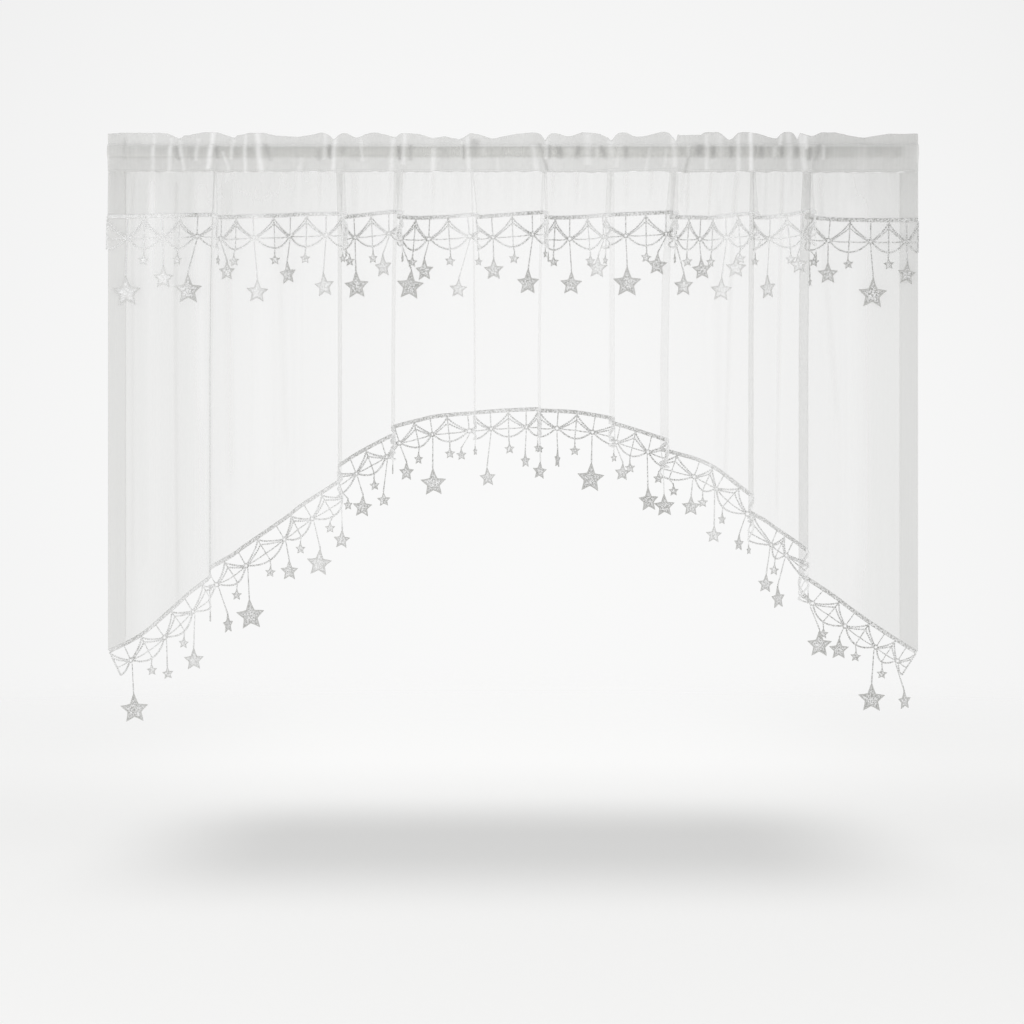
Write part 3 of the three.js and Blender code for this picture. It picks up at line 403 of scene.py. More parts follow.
class HungCloth:
    """The gathered cloth as it hangs: a flat place becomes a place in the room."""

    def __init__(self) -> None:
        """Work out the plan's corners from the folds."""
        half = SIZES.width / 2
        rows = [[-half, 0.0, 0.0, False]]
        for fold in FOLDS:
            rows.extend(self._corners(fold))
        rows.append([half, 0.0, 0.0, False])
        firm = [row for row in rows if len(row) == 4]
        for row in rows:
            if len(row) == 5:
                after = next(i for i, other in enumerate(firm) if other[0] > row[0])
                left, right = firm[after - 1], firm[after]
                share = (row[0] - left[0]) / (right[0] - left[0])
                row[1] = left[1] + (right[1] - left[1]) * share + row[4]
        self.x, self.back, self.lean = (np.array([row[i] for row in rows]) for i in range(3))
        steps = np.hypot(np.diff(self.x), np.diff(self.back))
        self.along = np.concatenate([[0.0], np.cumsum(steps)])
        self.width = float(self.along[-1])
        self.tight = self.along[np.array([row[3] for row in rows])]
        self.laps = [(group[0], group[3]) for group in self.tight.reshape(-1, 4)]
        inner = self.along[1:-1].reshape(-1, 4)
        self.folds_at = [(float(group[0]), float(group[3])) for group in inner]
        high, low = SIZES.crease_high, SIZES.crease_low
        self.ridges = [
            (self.along_at(row.across, high), self.along_at(row.across_low, low), row)
            for row in CREASES
        ]

    def _corners(self, fold: Fold) -> list[list]:
        """Give a fold's corners in plan.

        Args:
            fold: The fold.

        Returns:
            Rows of across, back, lean and whether it is lapped, and a soft fold's rise last.
        """
        if fold.lap > 0:
            side = 1 if fold.depth > 0 else -1
            half = abs(fold.depth) / 2
            lap = fold.lap / 2
            back = half - SIZES.bevel_back
            return [
                [fold.across + lap - SIZES.bevel_across, -side * half, fold.lean, True],
                [fold.across + lap, -side * back, fold.lean, True],
                [fold.across - lap, side * back, fold.lean, True],
                [fold.across - lap + SIZES.bevel_across, side * half, fold.lean, True],
            ]
        return [
            [fold.across + fold.width * share, 0.0, fold.lean, False, rise]
            for share, rise in ((-0.5, 0), (-1 / 6, fold.depth), (1 / 6, fold.depth), (0.5, 0))
        ]

    def along_at(self, across: float, down: float) -> float:
        """Find the flat place that is seen at a place across.

        Args:
            across: Distance from the rod's middle.
            down: Height below the rod.

        Returns:
            The flat distance of the layer nearest to the room.
        """
        flat = np.linspace(0, self.width, 3300)
        points = self.raw(flat, np.full_like(flat, down), np.zeros_like(flat))
        gaps = np.abs(points[:, 0] - across)
        rows = np.flatnonzero(gaps < 0.6)
        if not len(rows):
            return float(flat[np.argmin(gaps)])
        return float(flat[rows[np.argmin(points[rows, 1])]])

    def _corner(self, index: Array, down: Array) -> Array:
        """Give plan corners at their heights as rows of x and y."""
        x = self.x[index] + self.lean[index] * read(HANG, down, 2)
        return np.stack([x, self.back[index] * read(HANG, down)], axis=1)

    def _mitre(self, index: Array, down: Array) -> Array:
        """Give which way the room side faces at corners, long enough to keep layers apart.

        Args:
            index: Corner numbers.
            down: Heights below the rod.

        Returns:
            Rows of x and y.
        """
        last = len(self.x) - 1
        here = self._corner(index, down)
        before = here - self._corner(np.maximum(index - 1, 0), down)
        after = self._corner(np.minimum(index + 1, last), down) - here
        before = np.where((index == 0)[:, None], after, before)
        after = np.where((index == last)[:, None], before, after)
        before = before / np.maximum(np.linalg.norm(before, axis=1), 1e-9)[:, None]
        after = after / np.maximum(np.linalg.norm(after, axis=1), 1e-9)[:, None]
        facing = np.stack([before[:, 1] + after[:, 1], -before[:, 0] - after[:, 0]], axis=1)
        return facing / np.maximum(1 + (before * after).sum(axis=1), 0.12)[:, None]

    def raw(self, along: Array, down: Array, out: Array) -> Array:
        """Hang flat places on the straight-sided plan.

        Args:
            along: Flat distances.
            down: Heights below the rod.
            out: Distances in front of the panel.

        Returns:
            Rows of x and y in millimetres.
        """
        index = np.clip(np.searchsorted(self.along, along, side="right") - 1, 0, len(self.x) - 2)
        span = self.along[index + 1] - self.along[index]
        share = ((along - self.along[index]) / span)[:, None]
        left = self._corner(index, down) + self._mitre(index, down) * out[:, None]
        right = self._corner(index + 1, down) + self._mitre(index + 1, down) * out[:, None]
        return left + (right - left) * share

    def creased(self, along: Array, down: Array) -> Array:
        """Give the height of the soft creases.

        Args:
            along: Flat distances.
            down: Heights below the rod.

        Returns:
            Heights in millimetres, minus in a trough.
        """
        height = np.zeros_like(along)
        fallen = (down - SIZES.crease_high) / (SIZES.crease_low - SIZES.crease_high)
        start, end = SIZES.crease_fades
        for high, low, row in self.ridges:
            fade = smooth((down - row.top) / start) * smooth((row.foot - down) / end)
            height += row.height * hill(along, high + (low - high) * fallen, row.width) * fade
        return height

    def lapped(self, along: Array) -> Array:
        """Give 1 where the cloth lies in a lapped fold, with soft ends."""
        shares = [between(along, left, right, SIZES.lap_soft) for left, right in self.laps]
        return np.max(shares, axis=0)

    def relief(self, along: Array, down: Array) -> Array:
        """Give the creases and fine gathers that stand on the folds.

        Args:
            along: Flat distances.
            down: Heights below the rod.

        Returns:
            How far the cloth stands to the room side.
        """
        near = 1 - smooth((down - SIZES.heading_foot) / SIZES.gather_end)
        fine = ripples(along, FINE_GATHERS) * near
        broad = ripples(along, BROAD_GATHERS) * smooth(down / SIZES.sway_full)
        return self.creased(along, down) * SIZES.crease_share + fine + broad

    def points(self, along: Array, down: Array, out: Array) -> Array:
        """Hang flat places, with the plan's corners rounded off.

        Args:
            along: Flat distances.
            down: Heights below the rod.
            out: Distances in front of the panel.

        Returns:
            Rows of x, y and z in metres.
        """
        along, down, out = (np.asarray(values, dtype=float) for values in (along, down, out))
        gap = np.abs(along[:, None] - self.tight[None, :]).min(axis=1)
        sigma = np.clip(SIZES.round_share * gap, *SIZES.round_limits)
        inside = np.minimum(along, self.width - along).clip(0)
        sigma = np.minimum(sigma, inside / SIZES.round_reach)
        stand = out + self.relief(along, down)
        total = np.zeros((len(along), 2))
        weights = 0.0
        for tap in np.linspace(-SIZES.round_reach, SIZES.round_reach, SIZES.round_taps):
            weight = math.exp(-tap * tap / 2)
            place = np.clip(along + tap * sigma, 0, self.width)
            total = total + weight * self.raw(place, down, stand)
            weights += weight
        return np.concatenate([total / weights, -down[:, None]], axis=1) * MM


CLOTH = HungCloth()


def overlay_out(down: Array) -> Array:
    """Give how far the overlay and its trim hang in front of the panel.

    Args:
        down: Heights below the rod.

    Returns:
        Distances in millimetres.
    """
    share = (down - SIZES.heading_foot) / (SIZES.overlay_edge - SIZES.heading_foot)
    swing = np.maximum(0, down - SIZES.overlay_edge) * SIZES.trim_swing
    reach = SIZES.overlay_out_edge - SIZES.overlay_out_top
    return SIZES.overlay_out_top + reach * np.clip(share, 0, 1) + swing


def panel_out(down: Array) -> Array:
    """Give the panel's own distance, which is none."""
    return np.zeros_like(down)


class Edge:
    """A lower edge of the cloth, read by its own length."""

    def __init__(self, knots: list[tuple[float, float]]) -> None:
        """Run a smooth line through knots.

        Args:
            knots: Flat places as along and down.
        """
        held = np.array([knots[0], *knots, knots[-1]], dtype=float)
        t = (np.arange(60) / 60)[:, None]
        line = []
        for p, q, r, s in zip(held, held[1:], held[2:], held[3:]):
            v, w = (r - p) / 2, (s - q) / 2
            bend = (-3 * q + 3 * r - 2 * v - w) * t**2
            line.append((2 * q - 2 * r + v + w) * t**3 + bend + v * t + q)
        self.along, self.down = np.concatenate([*line, held[-1:]]).T
        steps = np.hypot(np.diff(self.along), np.diff(self.down))
        self.place = np.concatenate([[0.0], np.cumsum(steps)])
        self.length = float(self.place[-1])

    def down_at(self, along: Array) -> Array:
        """Give the edge's height at flat distances."""
        return np.interp(along, self.along, self.down)

    def at(self, place: Array) -> tuple[Array, Array]:
        """Give the flat distances along and down of places along the edge."""
        held = np.clip(place, 0, self.length)
        return np.interp(held, self.place, self.along), np.interp(held, self.place, self.down)

    def flat(self, place: Array, below: Array) -> tuple[Array, Array]:
        """Turn a place of the trim into a place on the flat cloth.

        Args:
            place: Distance along the edge.
            below: Distance below it, square to it.

        Returns:
            Flat distances along and down.
        """
        reach = 5.0
        along, down = self.at(place)
        (left, high), (right, low) = self.at(place - reach), self.at(place + reach)
        run, fall = right - left, low - high
        sunk = (below + SIZES.seam_gap) / np.hypot(run, fall)
        return along - fall * sunk, down + run * sunk

    def place_of(self, along: float, below: float) -> float:
        """Find the place along the edge whose point at a depth lies at a flat distance."""
        places = np.linspace(0, self.length, 2400)
        return float(places[np.argmin(np.abs(self.flat(places, below)[0] - along))])


def overlay_line() -> Edge:
    """Give the overlay's lower edge, lifted a little at each fold.

    Returns:
        The edge.
    """
    knots = [(0.0, SIZES.overlay_edge)]
    for fold, (left, right) in zip(FOLDS, CLOTH.folds_at):
        if fold.lap > 0:
            knots.append((left, SIZES.overlay_edge - fold.lift))
            knots.append((right, SIZES.overlay_edge - fold.lift / 4))
        else:
            knots.append(((left + right) / 2, SIZES.overlay_edge - fold.lift))
    return Edge([*knots, (CLOTH.width, SIZES.overlay_edge + SIZES.overlay_end_sag)])


HEM_EDGE = Edge([(share * CLOTH.width, down) for share, down in HEM])
OVERLAY_EDGE = overlay_line()


def add_piece(name: str, mesh: Mesh, finish: Material, slot: Slot, node: str = "") -> Object:
    """Put a mesh in the scene as a smooth piece that rides on the curtain.

    Args:
        name: The piece's name.
        mesh: Its mesh, in place.
        finish: Its material.
        slot: The record's slot for it; not used.
        node: The solid that it stands for, if any.

    Returns:
        The new object.
    """
    piece = bpy.data.objects.new(name, mesh)
    bpy.context.scene.collection.objects.link(piece)
    mesh.materials.clear()
    mesh.materials.append(finish)
    mesh.shade_smooth()
    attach(piece, BODY)
    if node:
        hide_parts(node)
    return piece


def paint(mesh: Mesh, name: str, values: Array) -> None:
    """Store one number for each vertex under an attribute's name."""
    attribute = mesh.attributes.new(name, "FLOAT", "POINT")
    attribute.data.foreach_set("value", np.asarray(values, dtype=np.float32))


def vertex_places(mesh: Mesh) -> Array:
    """Give a mesh's vertices.

    Args:
        mesh: The mesh.

    Returns:
        Rows of x, y and z.
    """
    flat = np.empty(len(mesh.vertices) * 3)
    mesh.vertices.foreach_get("co", flat)
    return flat.reshape(-1, 3)


def place_vertices(mesh: Mesh, points: Array) -> None:
    """Move a mesh's vertices to rows of x, y and z in metres."""
    mesh.vertices.foreach_set("co", points.reshape(-1))
    mesh.update()


def mesh_of(name: str, shape: BMesh) -> Mesh:
    """Turn a bmesh into a mesh and free it.

    Args:
        name: The mesh's name.
        shape: The bmesh.

    Returns:
        The mesh.
    """
    mesh = bpy.data.meshes.new(name)
    shape.to_mesh(mesh)
    shape.free()
    return mesh


def grid_mesh(name: str, columns: int, rows: int) -> tuple[Mesh, Array, Array]:
    """Make a flat sheet to be hung.

    Args:
        name: The mesh's name.
        columns: Squares across.
        rows: Squares down.

    Returns:
        The mesh, and each vertex's share across and down.
    """
    sheet = bmesh.new()
    bmesh.ops.create_grid(sheet, x_segments=columns, y_segments=rows, size=0.5)
    mesh = mesh_of(name, sheet)
    flat = vertex_places(mesh)
    return mesh, flat[:, 0] + 0.5, 0.5 - flat[:, 1]


def write_uv(mesh: Mesh, across: Array, down: Array) -> None:
    """Lay a UV map over a mesh in metres of flat cloth.

    Args:
        mesh: The mesh.
        across: Flat distance of each vertex, in millimetres.
        down: Flat depth of each vertex, in millimetres.
    """
    layer = mesh.uv_layers.new(name="flat_cloth")
    corners = np.empty(len(mesh.loops), dtype=np.int32)
    mesh.loops.foreach_get("vertex_index", corners)
    flat = np.stack([across[corners] * MM, down[corners] * MM], axis=1)
    layer.data.foreach_set("uv", flat.astype(np.float32).reshape(-1))


def strip_length(section: list[tuple[float, float]]) -> Array:
    """Give the length of a section's line up to each of its points."""
    return np.cumsum([0.0] + [math.dist(a, b) for a, b in zip(section, section[1:])])


def srgb(code: str) -> tuple[float, float, float, float]:
    """Turn a colour's six sRGB hex digits into linear red, green, blue and 1."""
    parts = [int(code[i : i + 2], 16) / 255 for i in (0, 2, 4)]
    return *(p / 12.92 if p <= 0.04045 else ((p + 0.055) / 1.055) ** 2.4 for p in parts), 1.0


def per_metre(grain_mm: float) -> float:
    """Give a pattern's scale for the real size of its grain."""
    return 1 / (grain_mm * MM)


def add_node(
    tree: NodeTree, kind: str, settings: dict | None = None, links: dict | None = None
) -> Node:
    """Add a node with its settings and links.

    Args:
        tree: The node tree.
        kind: The node's type, after the word ShaderNode.
        settings: Attribute names or input names and their values.
        links: Input names and the sockets that feed them, or a node for its first socket.

    Returns:
        The new node.
    """
    node = tree.nodes.new("ShaderNode" + kind)
    for key, value in (settings or {}).items():
        if isinstance(key, str) and hasattr(node, key):
            setattr(node, key, value)
        else:
            node.inputs[key].default_value = value
    for key, source in (links or {}).items():
        socket = source.outputs[0] if isinstance(source, Node) else source
        tree.links.new(socket, node.inputs[key])
    return node


def new_material(name: str) -> tuple[Material, Adder]:
    """Start a material with an empty tree.

    Args:
        name: The material's name.

    Returns:
        The material, and add_node for its tree.
    """
    material = bpy.data.materials.new(name)
    material.use_nodes = True
    material.node_tree.nodes.clear()
    return material, partial(add_node, material.node_tree)


def add_shader(add: Adder, settings: dict, links: dict) -> None:
    """Close a material with its one shader and its output."""
    shader = add("BsdfPrincipled", settings, links)
    add("OutputMaterial", links={"Surface": shader})


@dataclass(frozen=True)
class WovenVoile:
    """Polyester voile: a fine open plain weave, so the room shows through it.

    It gives the eye a soft grey veil, denser where cloth is gathered or doubled, with faint
    upright streaks where warp threads lie closer. Painted shade darkens it towards the sides,
    in the heading and in its troughs, and a painted highlight with a faint glow lights the
    heading's raised gathers. Its 0.35 mm threads are too fine to show, so the streaks are
    drawn 7 to 42 mm apart.
    """

    name: str = "polyester_voile"
    colour: str = "f1f1ef"
    shade: str = "e9e9e7"
    # Colour that the painted shade darkens the cloth towards.
    painted_shade_colour: str = "a9a9a7"
    roughness: float = 0.92
    specular: float = 0.2
    streak_mm: float = 7.0
    band_mm: float = 42.0
    weave_mm: float = 1.4
    upright: float = 0.02
    uneven: float = 0.1
    # Strength of the painted glow on the heading's raised gathers.
    glow: float = 0.12

    def build(self) -> Material:
        """Make the finish for every voile piece.

        Returns:
            The material.
        """
        material, add = new_material(self.name)
        uv = add("UVMap", {"uv_map": "flat_cloth"})
        tall = add("Mapping", {"Scale": (1, self.upright, 1)}, {"Vector": uv})
        streak = add(
            "TexNoise",
            {"Scale": per_metre(self.streak_mm), "Detail": 3.0, "Roughness": 0.6},
            {"Vector": tall},
        )
        band = add("TexNoise", {"Scale": per_metre(self.band_mm), "Detail": 2.0}, {"Vector": tall})
        both = add("Math", {"operation": "ADD"}, {0: streak, 1: band})
        thinned = add(
            "MapRange",
            {"From Min": 0.6, "From Max": 1.4, "To Min": 1 - self.uneven,
             "To Max": 1 + self.uneven},
            {"Value": both},
        )
        density, dim, lit = (
            add("Attribute", {"attribute_name": name}).outputs["Fac"]
            for name in ("cloth_cover", "cloth_shade", "cloth_lit")
        )
        cover = add("Math", {"operation": "MULTIPLY", "use_clamp": True}, {0: density, 1: thinned})
        tint = add(
            "Mix", {"data_type": "RGBA", 6: srgb(self.shade), 7: srgb(self.colour)}, {0: band}
        )
        # Painted shade: cloth_shade darkens the voile towards its shade colour.
        toned = add(
            "Mix", {"data_type": "RGBA", 7: srgb(self.painted_shade_colour)}, {0: dim, 6: tint.outputs[2]}
        )
        # Painted highlight: cloth_lit pales the raised gathers to white and gives them a faint
        # glow.
        paled = add("Mix", {"data_type": "RGBA", 7: WHITE}, {0: lit, 6: toned.outputs[2]})
        glow = add("Math", {"operation": "MULTIPLY", 1: self.glow}, {0: lit})
        weave = add("TexNoise", {"Scale": per_metre(self.weave_mm), "Detail": 2.0}, {"Vector": uv})
        bump = add("Bump", {"Strength": 0.05, "Distance": 0.0003}, {"Height": weave})
        add_shader(
            add,
            {"Roughness": self.roughness, "Specular IOR Level": self.specular,
             "Emission Color": WHITE},
            {"Base Color": paled.outputs[2], "Alpha": cover, "Normal": bump,
             "Emission Strength": glow},
        )
        return material


@dataclass(frozen=True)
class ChemicalLace:
    """Viscose chemical lace: dense thread embroidery whose backing was washed away.

    It gives the eye a mottled, slightly glossy grey white, darker round each star's rim and
    between the beads. Painted glint draws some stretches of lace paler, with a faint glow.
    The 0.3 mm stitches are drawn 1.9 mm apart, so that they show.
    """

    name: str = "viscose_chemical_lace"
    light: str = "ffffff"
    dark: str = "acaca9"
    rim: str = "cfcfcc"
    roughness: float = 0.62
    specular: float = 0.35
    stitch_mm: float = 1.9
    pale_rim: float = 0.35
    # Strength of the painted glow on glinting lace.
    glow: float = 0.14

    def build(self) -> Material:
        """Make the finish for both trims.

        Returns:
            The material.
        """
        material, add = new_material(self.name)
        place = add("TexCoord").outputs["Object"]
        stitch = add(
            "TexNoise",
            {"Scale": per_metre(self.stitch_mm), "Detail": 3.0, "Roughness": 0.7},
            {"Vector": place},
        )
        mottle = add("MapRange", {"From Min": 0.44, "From Max": 0.56}, {"Value": stitch})
        thread = add(
            "Mix", {"data_type": "RGBA", 6: srgb(self.dark), 7: srgb(self.light)},
            {0: mottle},
        )
        faint, rim = (
            add("Attribute", {"attribute_name": name}).outputs["Fac"]
            for name in ("faint", "rim")
        )
        # Painted glint: faint pales the lace towards white and keeps less of its dark rim.
        paled = add("Mix", {"data_type": "RGBA", 7: WHITE}, {0: faint, 6: thread.outputs[2]})
        kept = add("MapRange", {"To Min": 1.0, "To Max": self.pale_rim}, {"Value": faint})
        darkened = add("Math", {"operation": "MULTIPLY"}, {0: rim, 1: kept})
        toned = add(
            "Mix", {"data_type": "RGBA", 7: srgb(self.rim)},
            {0: darkened, 6: paled.outputs[2]},
        )
        # Painted glow on the glinting lace.
        glow = add("MapRange", {"To Max": self.glow}, {"Value": faint})
        bump = add("Bump", {"Strength": 0.8, "Distance": 0.0006}, {"Height": stitch})
        add_shader(
            add,
            {"Roughness": self.roughness, "Specular IOR Level": self.specular,
             "Emission Color": WHITE},
            {"Base Color": toned.outputs[2], "Normal": bump, "Emission Strength": glow},
        )
        return material


@dataclass(frozen=True)
class GrainedFinish:
    """An opaque finish that a fine grain makes uneven, from a shade to a lighter one."""

    name: str
    shade: str
    light: str
    roughness: float
    grain_mm: float
    relief: float = 0.0

    def build(self) -> Material:
        """Make the finish.

        Returns:
            The material.
        """
        material, add = new_material(self.name)
        place = add("TexCoord").outputs["Object"]
        grain = add(
            "TexNoise", {"Scale": per_metre(self.grain_mm), "Detail": 1.0}, {"Vector": place}
        )
        coat = add(
            "Mix", {"data_type": "RGBA", 6: srgb(self.shade), 7: srgb(self.light)}, {0: grain}
        )
        links = {"Base Color": coat.outputs[2]}
        if self.relief:
            links["Normal"] = add(
                "Bump", {"Strength": self.relief, "Distance": 0.0004}, {"Height": grain}
            )
        add_shader(add, {"Roughness": self.roughness}, links)
        return material


# Drawn steel tube with a sprayed white coat: it gives the eye an even, half-glossy light grey
# with a faint orange-peel texture.
PAINTED_STEEL = GrainedFinish("white_painted_steel", "e3e3e0", "ededea", 0.42, 2.5, 0.08)

# Spun polyester sewing thread: it gives the eye a matt white line of small raised stitches.
SEWING_THREAD = GrainedFinish("spun_polyester_thread", "dededc", "f6f6f4", 0.8, 0.8)


@dataclass
class RodPiece:
    """The plain round rod that the pocket slides on."""

    radius: float = 8.0
    length: float = 1156.0
    rim: float = 0.8
    sides: int = 64

    def build(self, finish: Material) -> Object:
        """Make the rod with softened end rims.

        Args:
            finish: Its paint.

        Returns:
            The rod.
        """
        solid = bmesh.new()
        radius, length = self.radius * MM, self.length * MM
        bmesh.ops.create_cone(
            solid, cap_ends=True, segments=self.sides, radius1=radius, radius2=radius,
            depth=length, matrix=Matrix.Rotation(math.pi / 2, 4, "Y"),
        )
        rims = [e for e in solid.edges if abs(sum(v.co.x for v in e.verts)) > length / 2]
        bmesh.ops.bevel(
            solid, geom=rims, offset=self.rim * MM, segments=3, profile=0.5, affect="EDGES",
            material=-1,
        )
        return add_piece("curtain_rod", mesh_of("curtain_rod", solid), finish, Slot.ROD, "rod")


@dataclass
class ClothPiece:
    """A voile sheet that hangs from the heading down to an edge."""

    name: str
    node: str
    edge: Edge
    out: Outward
    cover: Table
    rows: int
    lap_share: float
    hem_share: float = 1.0
    columns: int = 820
    top: float = SIZES.heading_foot + 0.3
    gather_cover: float = 0.08
    gather_reach: float = 70
    gather_waves: Table = ((30, 5, 0.3),)
    crease_veil: float = 0.085
    tuck: float = 2.0
    limits: tuple[float, float] = (0.02, 0.95)

    def density(self, along: Array, down: Array, x: Array) -> Array:
        """Give how much of the view one layer covers.

        Args:
            along: Flat distances.
            down: Heights below the rod.
            x: Places across, in millimetres.

        Returns:
            Shares from 0 to 1.
        """
        base = read(self.cover, x)
        near = 1 - smooth((down - SIZES.heading_foot) / self.gather_reach)
        base = base + self.gather_cover * near * (0.7 + ripples(along, self.gather_waves))
        base = base * (1 + (self.lap_share - 1) * CLOTH.lapped(along))
        base = base + self.crease_veil * CLOTH.creased(along, down)
        side = np.minimum(along, CLOTH.width - along)
        doubled = 1 - (1 - base) ** 2
        inside = smooth((SIZES.side_hem - side) / SIZES.hem_soft) * self.hem_share
        return np.clip(base + (doubled - base) * inside, *self.limits)

    def build(self, finish: Material) -> Object:
        """Hang the sheet.

        Args:
            finish: The voile.

        Returns:
            The piece.
        """
        mesh, across, share = grid_mesh(self.name, self.columns, self.rows)
        along = across * CLOTH.width
        down = self.top + (self.edge.down_at(along) + self.tuck - self.top) * share
        points = CLOTH.points(along, down, self.out(down))
        place_vertices(mesh, points)
        write_uv(mesh, along, down)
        x = points[:, 0] / MM
        paint(mesh, "cloth_cover", self.density(along, down, x))
        # Painted shade: the cloth is drawn darker towards both sides.
        paint(mesh, "cloth_shade", read(PAINTED_SIDE_SHADE, x))
        return add_piece(self.name, mesh, finish, Slot.VOILE, self.node)

    def flat_area(self) -> float:
        """Give the cut's flat area in square metres.

        Returns:
            The area.
        """
        along = np.linspace(0, CLOTH.width, 2000)
        deep = self.edge.down_at(along) - self.top
        return float(((deep[1:] + deep[:-1]) / 2 * np.diff(along)).sum()) * MM * MM

    def flat_length(self) -> float:
        """Give the cut's greatest length in metres."""
        return float(self.edge.down.max() - self.top) * MM


@dataclass
class HeadingPiece:
    """The rod pocket and its ruffle: one strip of voile folded over the top.

    The rows of "cover" are across, the ruffle's cover, the pocket's, what the rod adds, and how
    much painted shade darkens the cloth. Those of "half" are forward and down.
    """

    name: str = "gathered_heading"
    columns: int = 1200
    steps: int = 3
    strips: int = 400
    cut_width: float = 1.42
    pinch: float = 0.72
    pinch_reach: float = 6
    back_shift: float = 17
    rod_half: float = 9
    ridge_spread: float = 1.3
    pocket_relief: float = 0.62
    foot_relief: float = 0.35
    foot_gap: float = 1.6
    ruffle_relief: float = 0.55
    ruffle_sway: float = 0.8
    ruffle_waves: Table = ((46, 11, 2.6), (17, 12, 1.3))
    small_waves: Table = ((14, 5, 0.3),)
    foot_waves: Table = ((30, 9, 0.7),)
    cover_waves: Table = ((60, 21, 0.03),)
    ruffle_rise: float = 17
    ruffle_soft: float = 5
    gather_soft: float = 4
    flare_from: float = 4
    flare_run: float = 24
    scallop_from: float = 20
    scallop_run: float = 9.6
    # Painted light: raised ridges are drawn paler with a glow, and pinched troughs darker.
    ridge_light: float = 0.95
    ridge_full: float = 3
    trough_shade: float = 0.14
    darkest: float = 0.9
    ridge_cover: float = 0.06
    trough_cover: float = 0.1
    hem_cover: float = 0.04
    pocket_soft: float = 4
    rod_soft: float = 3
    limits: tuple[float, float] = (0.06, 0.93)
    cover: Table = (
        (-600, 0.42, 0.56, 0.33, 0), (-538, 0.34, 0.55, 0.3, 0), (-420, 0.38, 0.46, 0.1, 0.08),
        (-200, 0.36, 0.39, -0.06, 0.18), (0, 0.36, 0.38, -0.08, 0.18),
        (200, 0.38, 0.4, -0.05, 0.18), (400, 0.49, 0.5, 0, 0.13), (600, 0.52, 0.57, 0.06, -0.04),
    )
    half: Table = (
        (0.0, -29.6), (0.75, -29.0), (1.15, -22.0), (0.95, -15.5), (0.62, -12.4), (3.4, -11.3),
        (6.9, -8.9), (9.5, -4.4), (10.3, 0.0), (9.9, 4.5), (8.4, 11.0), (6.3, 18.0), (4.2, 25.0),
        (2.9, 29.6),
    )

    def section(self) -> list[tuple[float, float]]:
        """Give the strip's section, from the back foot over the top to the front foot.

        Returns:
            Rows of forward and down.
        """
        line = Edge(list(self.half))
        places = np.linspace(0, line.length, (len(self.half) - 1) * self.steps + 1)
        front = list(zip(*(part.tolist() for part in line.at(places))))
        return [(-f, d) for f, d in reversed(front[1:])] + front

    def gathered(self, x: Array, down: Array, part: int = 0) -> Array:
        """Give the gathers' height.

        Args:
            x: Places across.
            down: Heights below the rod.
            part: 1 for ridges alone, -1 for troughs alone and 0 for both.

        Returns:
            Heights in millimetres.
        """
        height = np.zeros_like(x)
        for row in GATHERS:
            if part * row.height >= 0:
                middle = row.across + row.slant * (down / 30)
                reach = row.width * (self.ridge_spread if row.height > 0 else 1.0)
                fade = between(down, row.top, row.foot, self.gather_soft)
                height = height + row.height * hill(x, middle, reach) * fade
        return height

    def relief(self, x: Array, down: Array) -> Array:
        """Give how far the gathers stand out of the pocket and ruffle, in millimetres."""
        return ripples(x, self.small_waves) + self.gathered(x, down)

    def front_of_cloth(self, x: Array, nearest: bool) -> Array:
        """Give the plan of the cloth under the pocket's foot.

        Args:
            x: Places across.
            nearest: True for the side to the room, and False for the wall.

        Returns:
            Its y in millimetres.
        """
        along = np.linspace(0, CLOTH.width, 5000)
        foot = np.full_like(along, SIZES.heading_foot)
        out = overlay_out(foot) if nearest else panel_out(foot)
        points = CLOTH.points(along, foot, out) / MM
        edges = np.linspace(-SIZES.width / 2, SIZES.width / 2, self.strips + 1)
        which = np.clip(np.digitize(points[:, 0], edges) - 1, 0, self.strips - 1)
        firm = [0.0]
        for index in range(self.strips):
            inside = points[which == index, 1]
            found = (inside.min() if nearest else inside.max()) if len(inside) else firm[-1]
            firm.append(found)
        kernel = np.exp(-np.linspace(-2, 2, 9) ** 2 / 2)
        padded = np.pad(firm[1:], 4, mode="edge")
        soft = np.convolve(padded, kernel / kernel.sum(), mode="valid")
        outer = np.minimum if nearest else np.maximum
        return np.interp(x, (edges[1:] + edges[:-1]) / 2, outer(soft, firm[1:]))

    def build(self, finish: Material) -> Object:
        """Make the heading.

        Args:
            finish: The voile.

        Returns:
            The piece.
        """
        section = self.section()
        last = len(section) - 1
        mesh, across, share = grid_mesh(self.name, self.columns, last)
        row = np.rint(share * last).astype(int)
        forward, down = np.array(section)[row].T
        x = (across - 0.5) * SIZES.width
        facing = np.where(forward > 0, 1.0, -1.0)
        ruffle = smooth((SIZES.stitch_line - down) / self.ruffle_soft)
        pinched = 1 - self.pinch * hill(down, SIZES.stitch_line, self.pinch_reach)
        side = np.where(facing > 0, x, x + self.back_shift)
        on_pocket = (1 - ruffle) * self.relief(side, down) * facing
        wave = ripples(x, self.ruffle_waves) + self.relief(x, down) * self.ruffle_relief
        rise = np.clip((SIZES.stitch_line - down) / self.ruffle_rise, 0, 1)
        flare = smooth((down - self.flare_from) / self.flare_run)
        plans = self.front_of_cloth(x, True), self.front_of_cloth(x, False)
        hung = np.where(facing > 0, *plans) - facing * self.foot_gap
        hung = (hung - on_pocket * self.foot_relief) * flare
        y = -(forward + on_pocket * pinched * self.pocket_relief) * (1 - flare) + hung
        y = y + wave * rise * self.ruffle_sway
        scallop = np.clip((down - self.scallop_from) / self.scallop_run, 0, 1)
        z = -down - read(RUFFLE, x) * rise + scallop * ripples(x, self.foot_waves)
        place_vertices(mesh, np.stack([x, y, z], axis=1) * MM)
        write_uv(mesh, across * CLOTH.width, strip_length(section)[row])
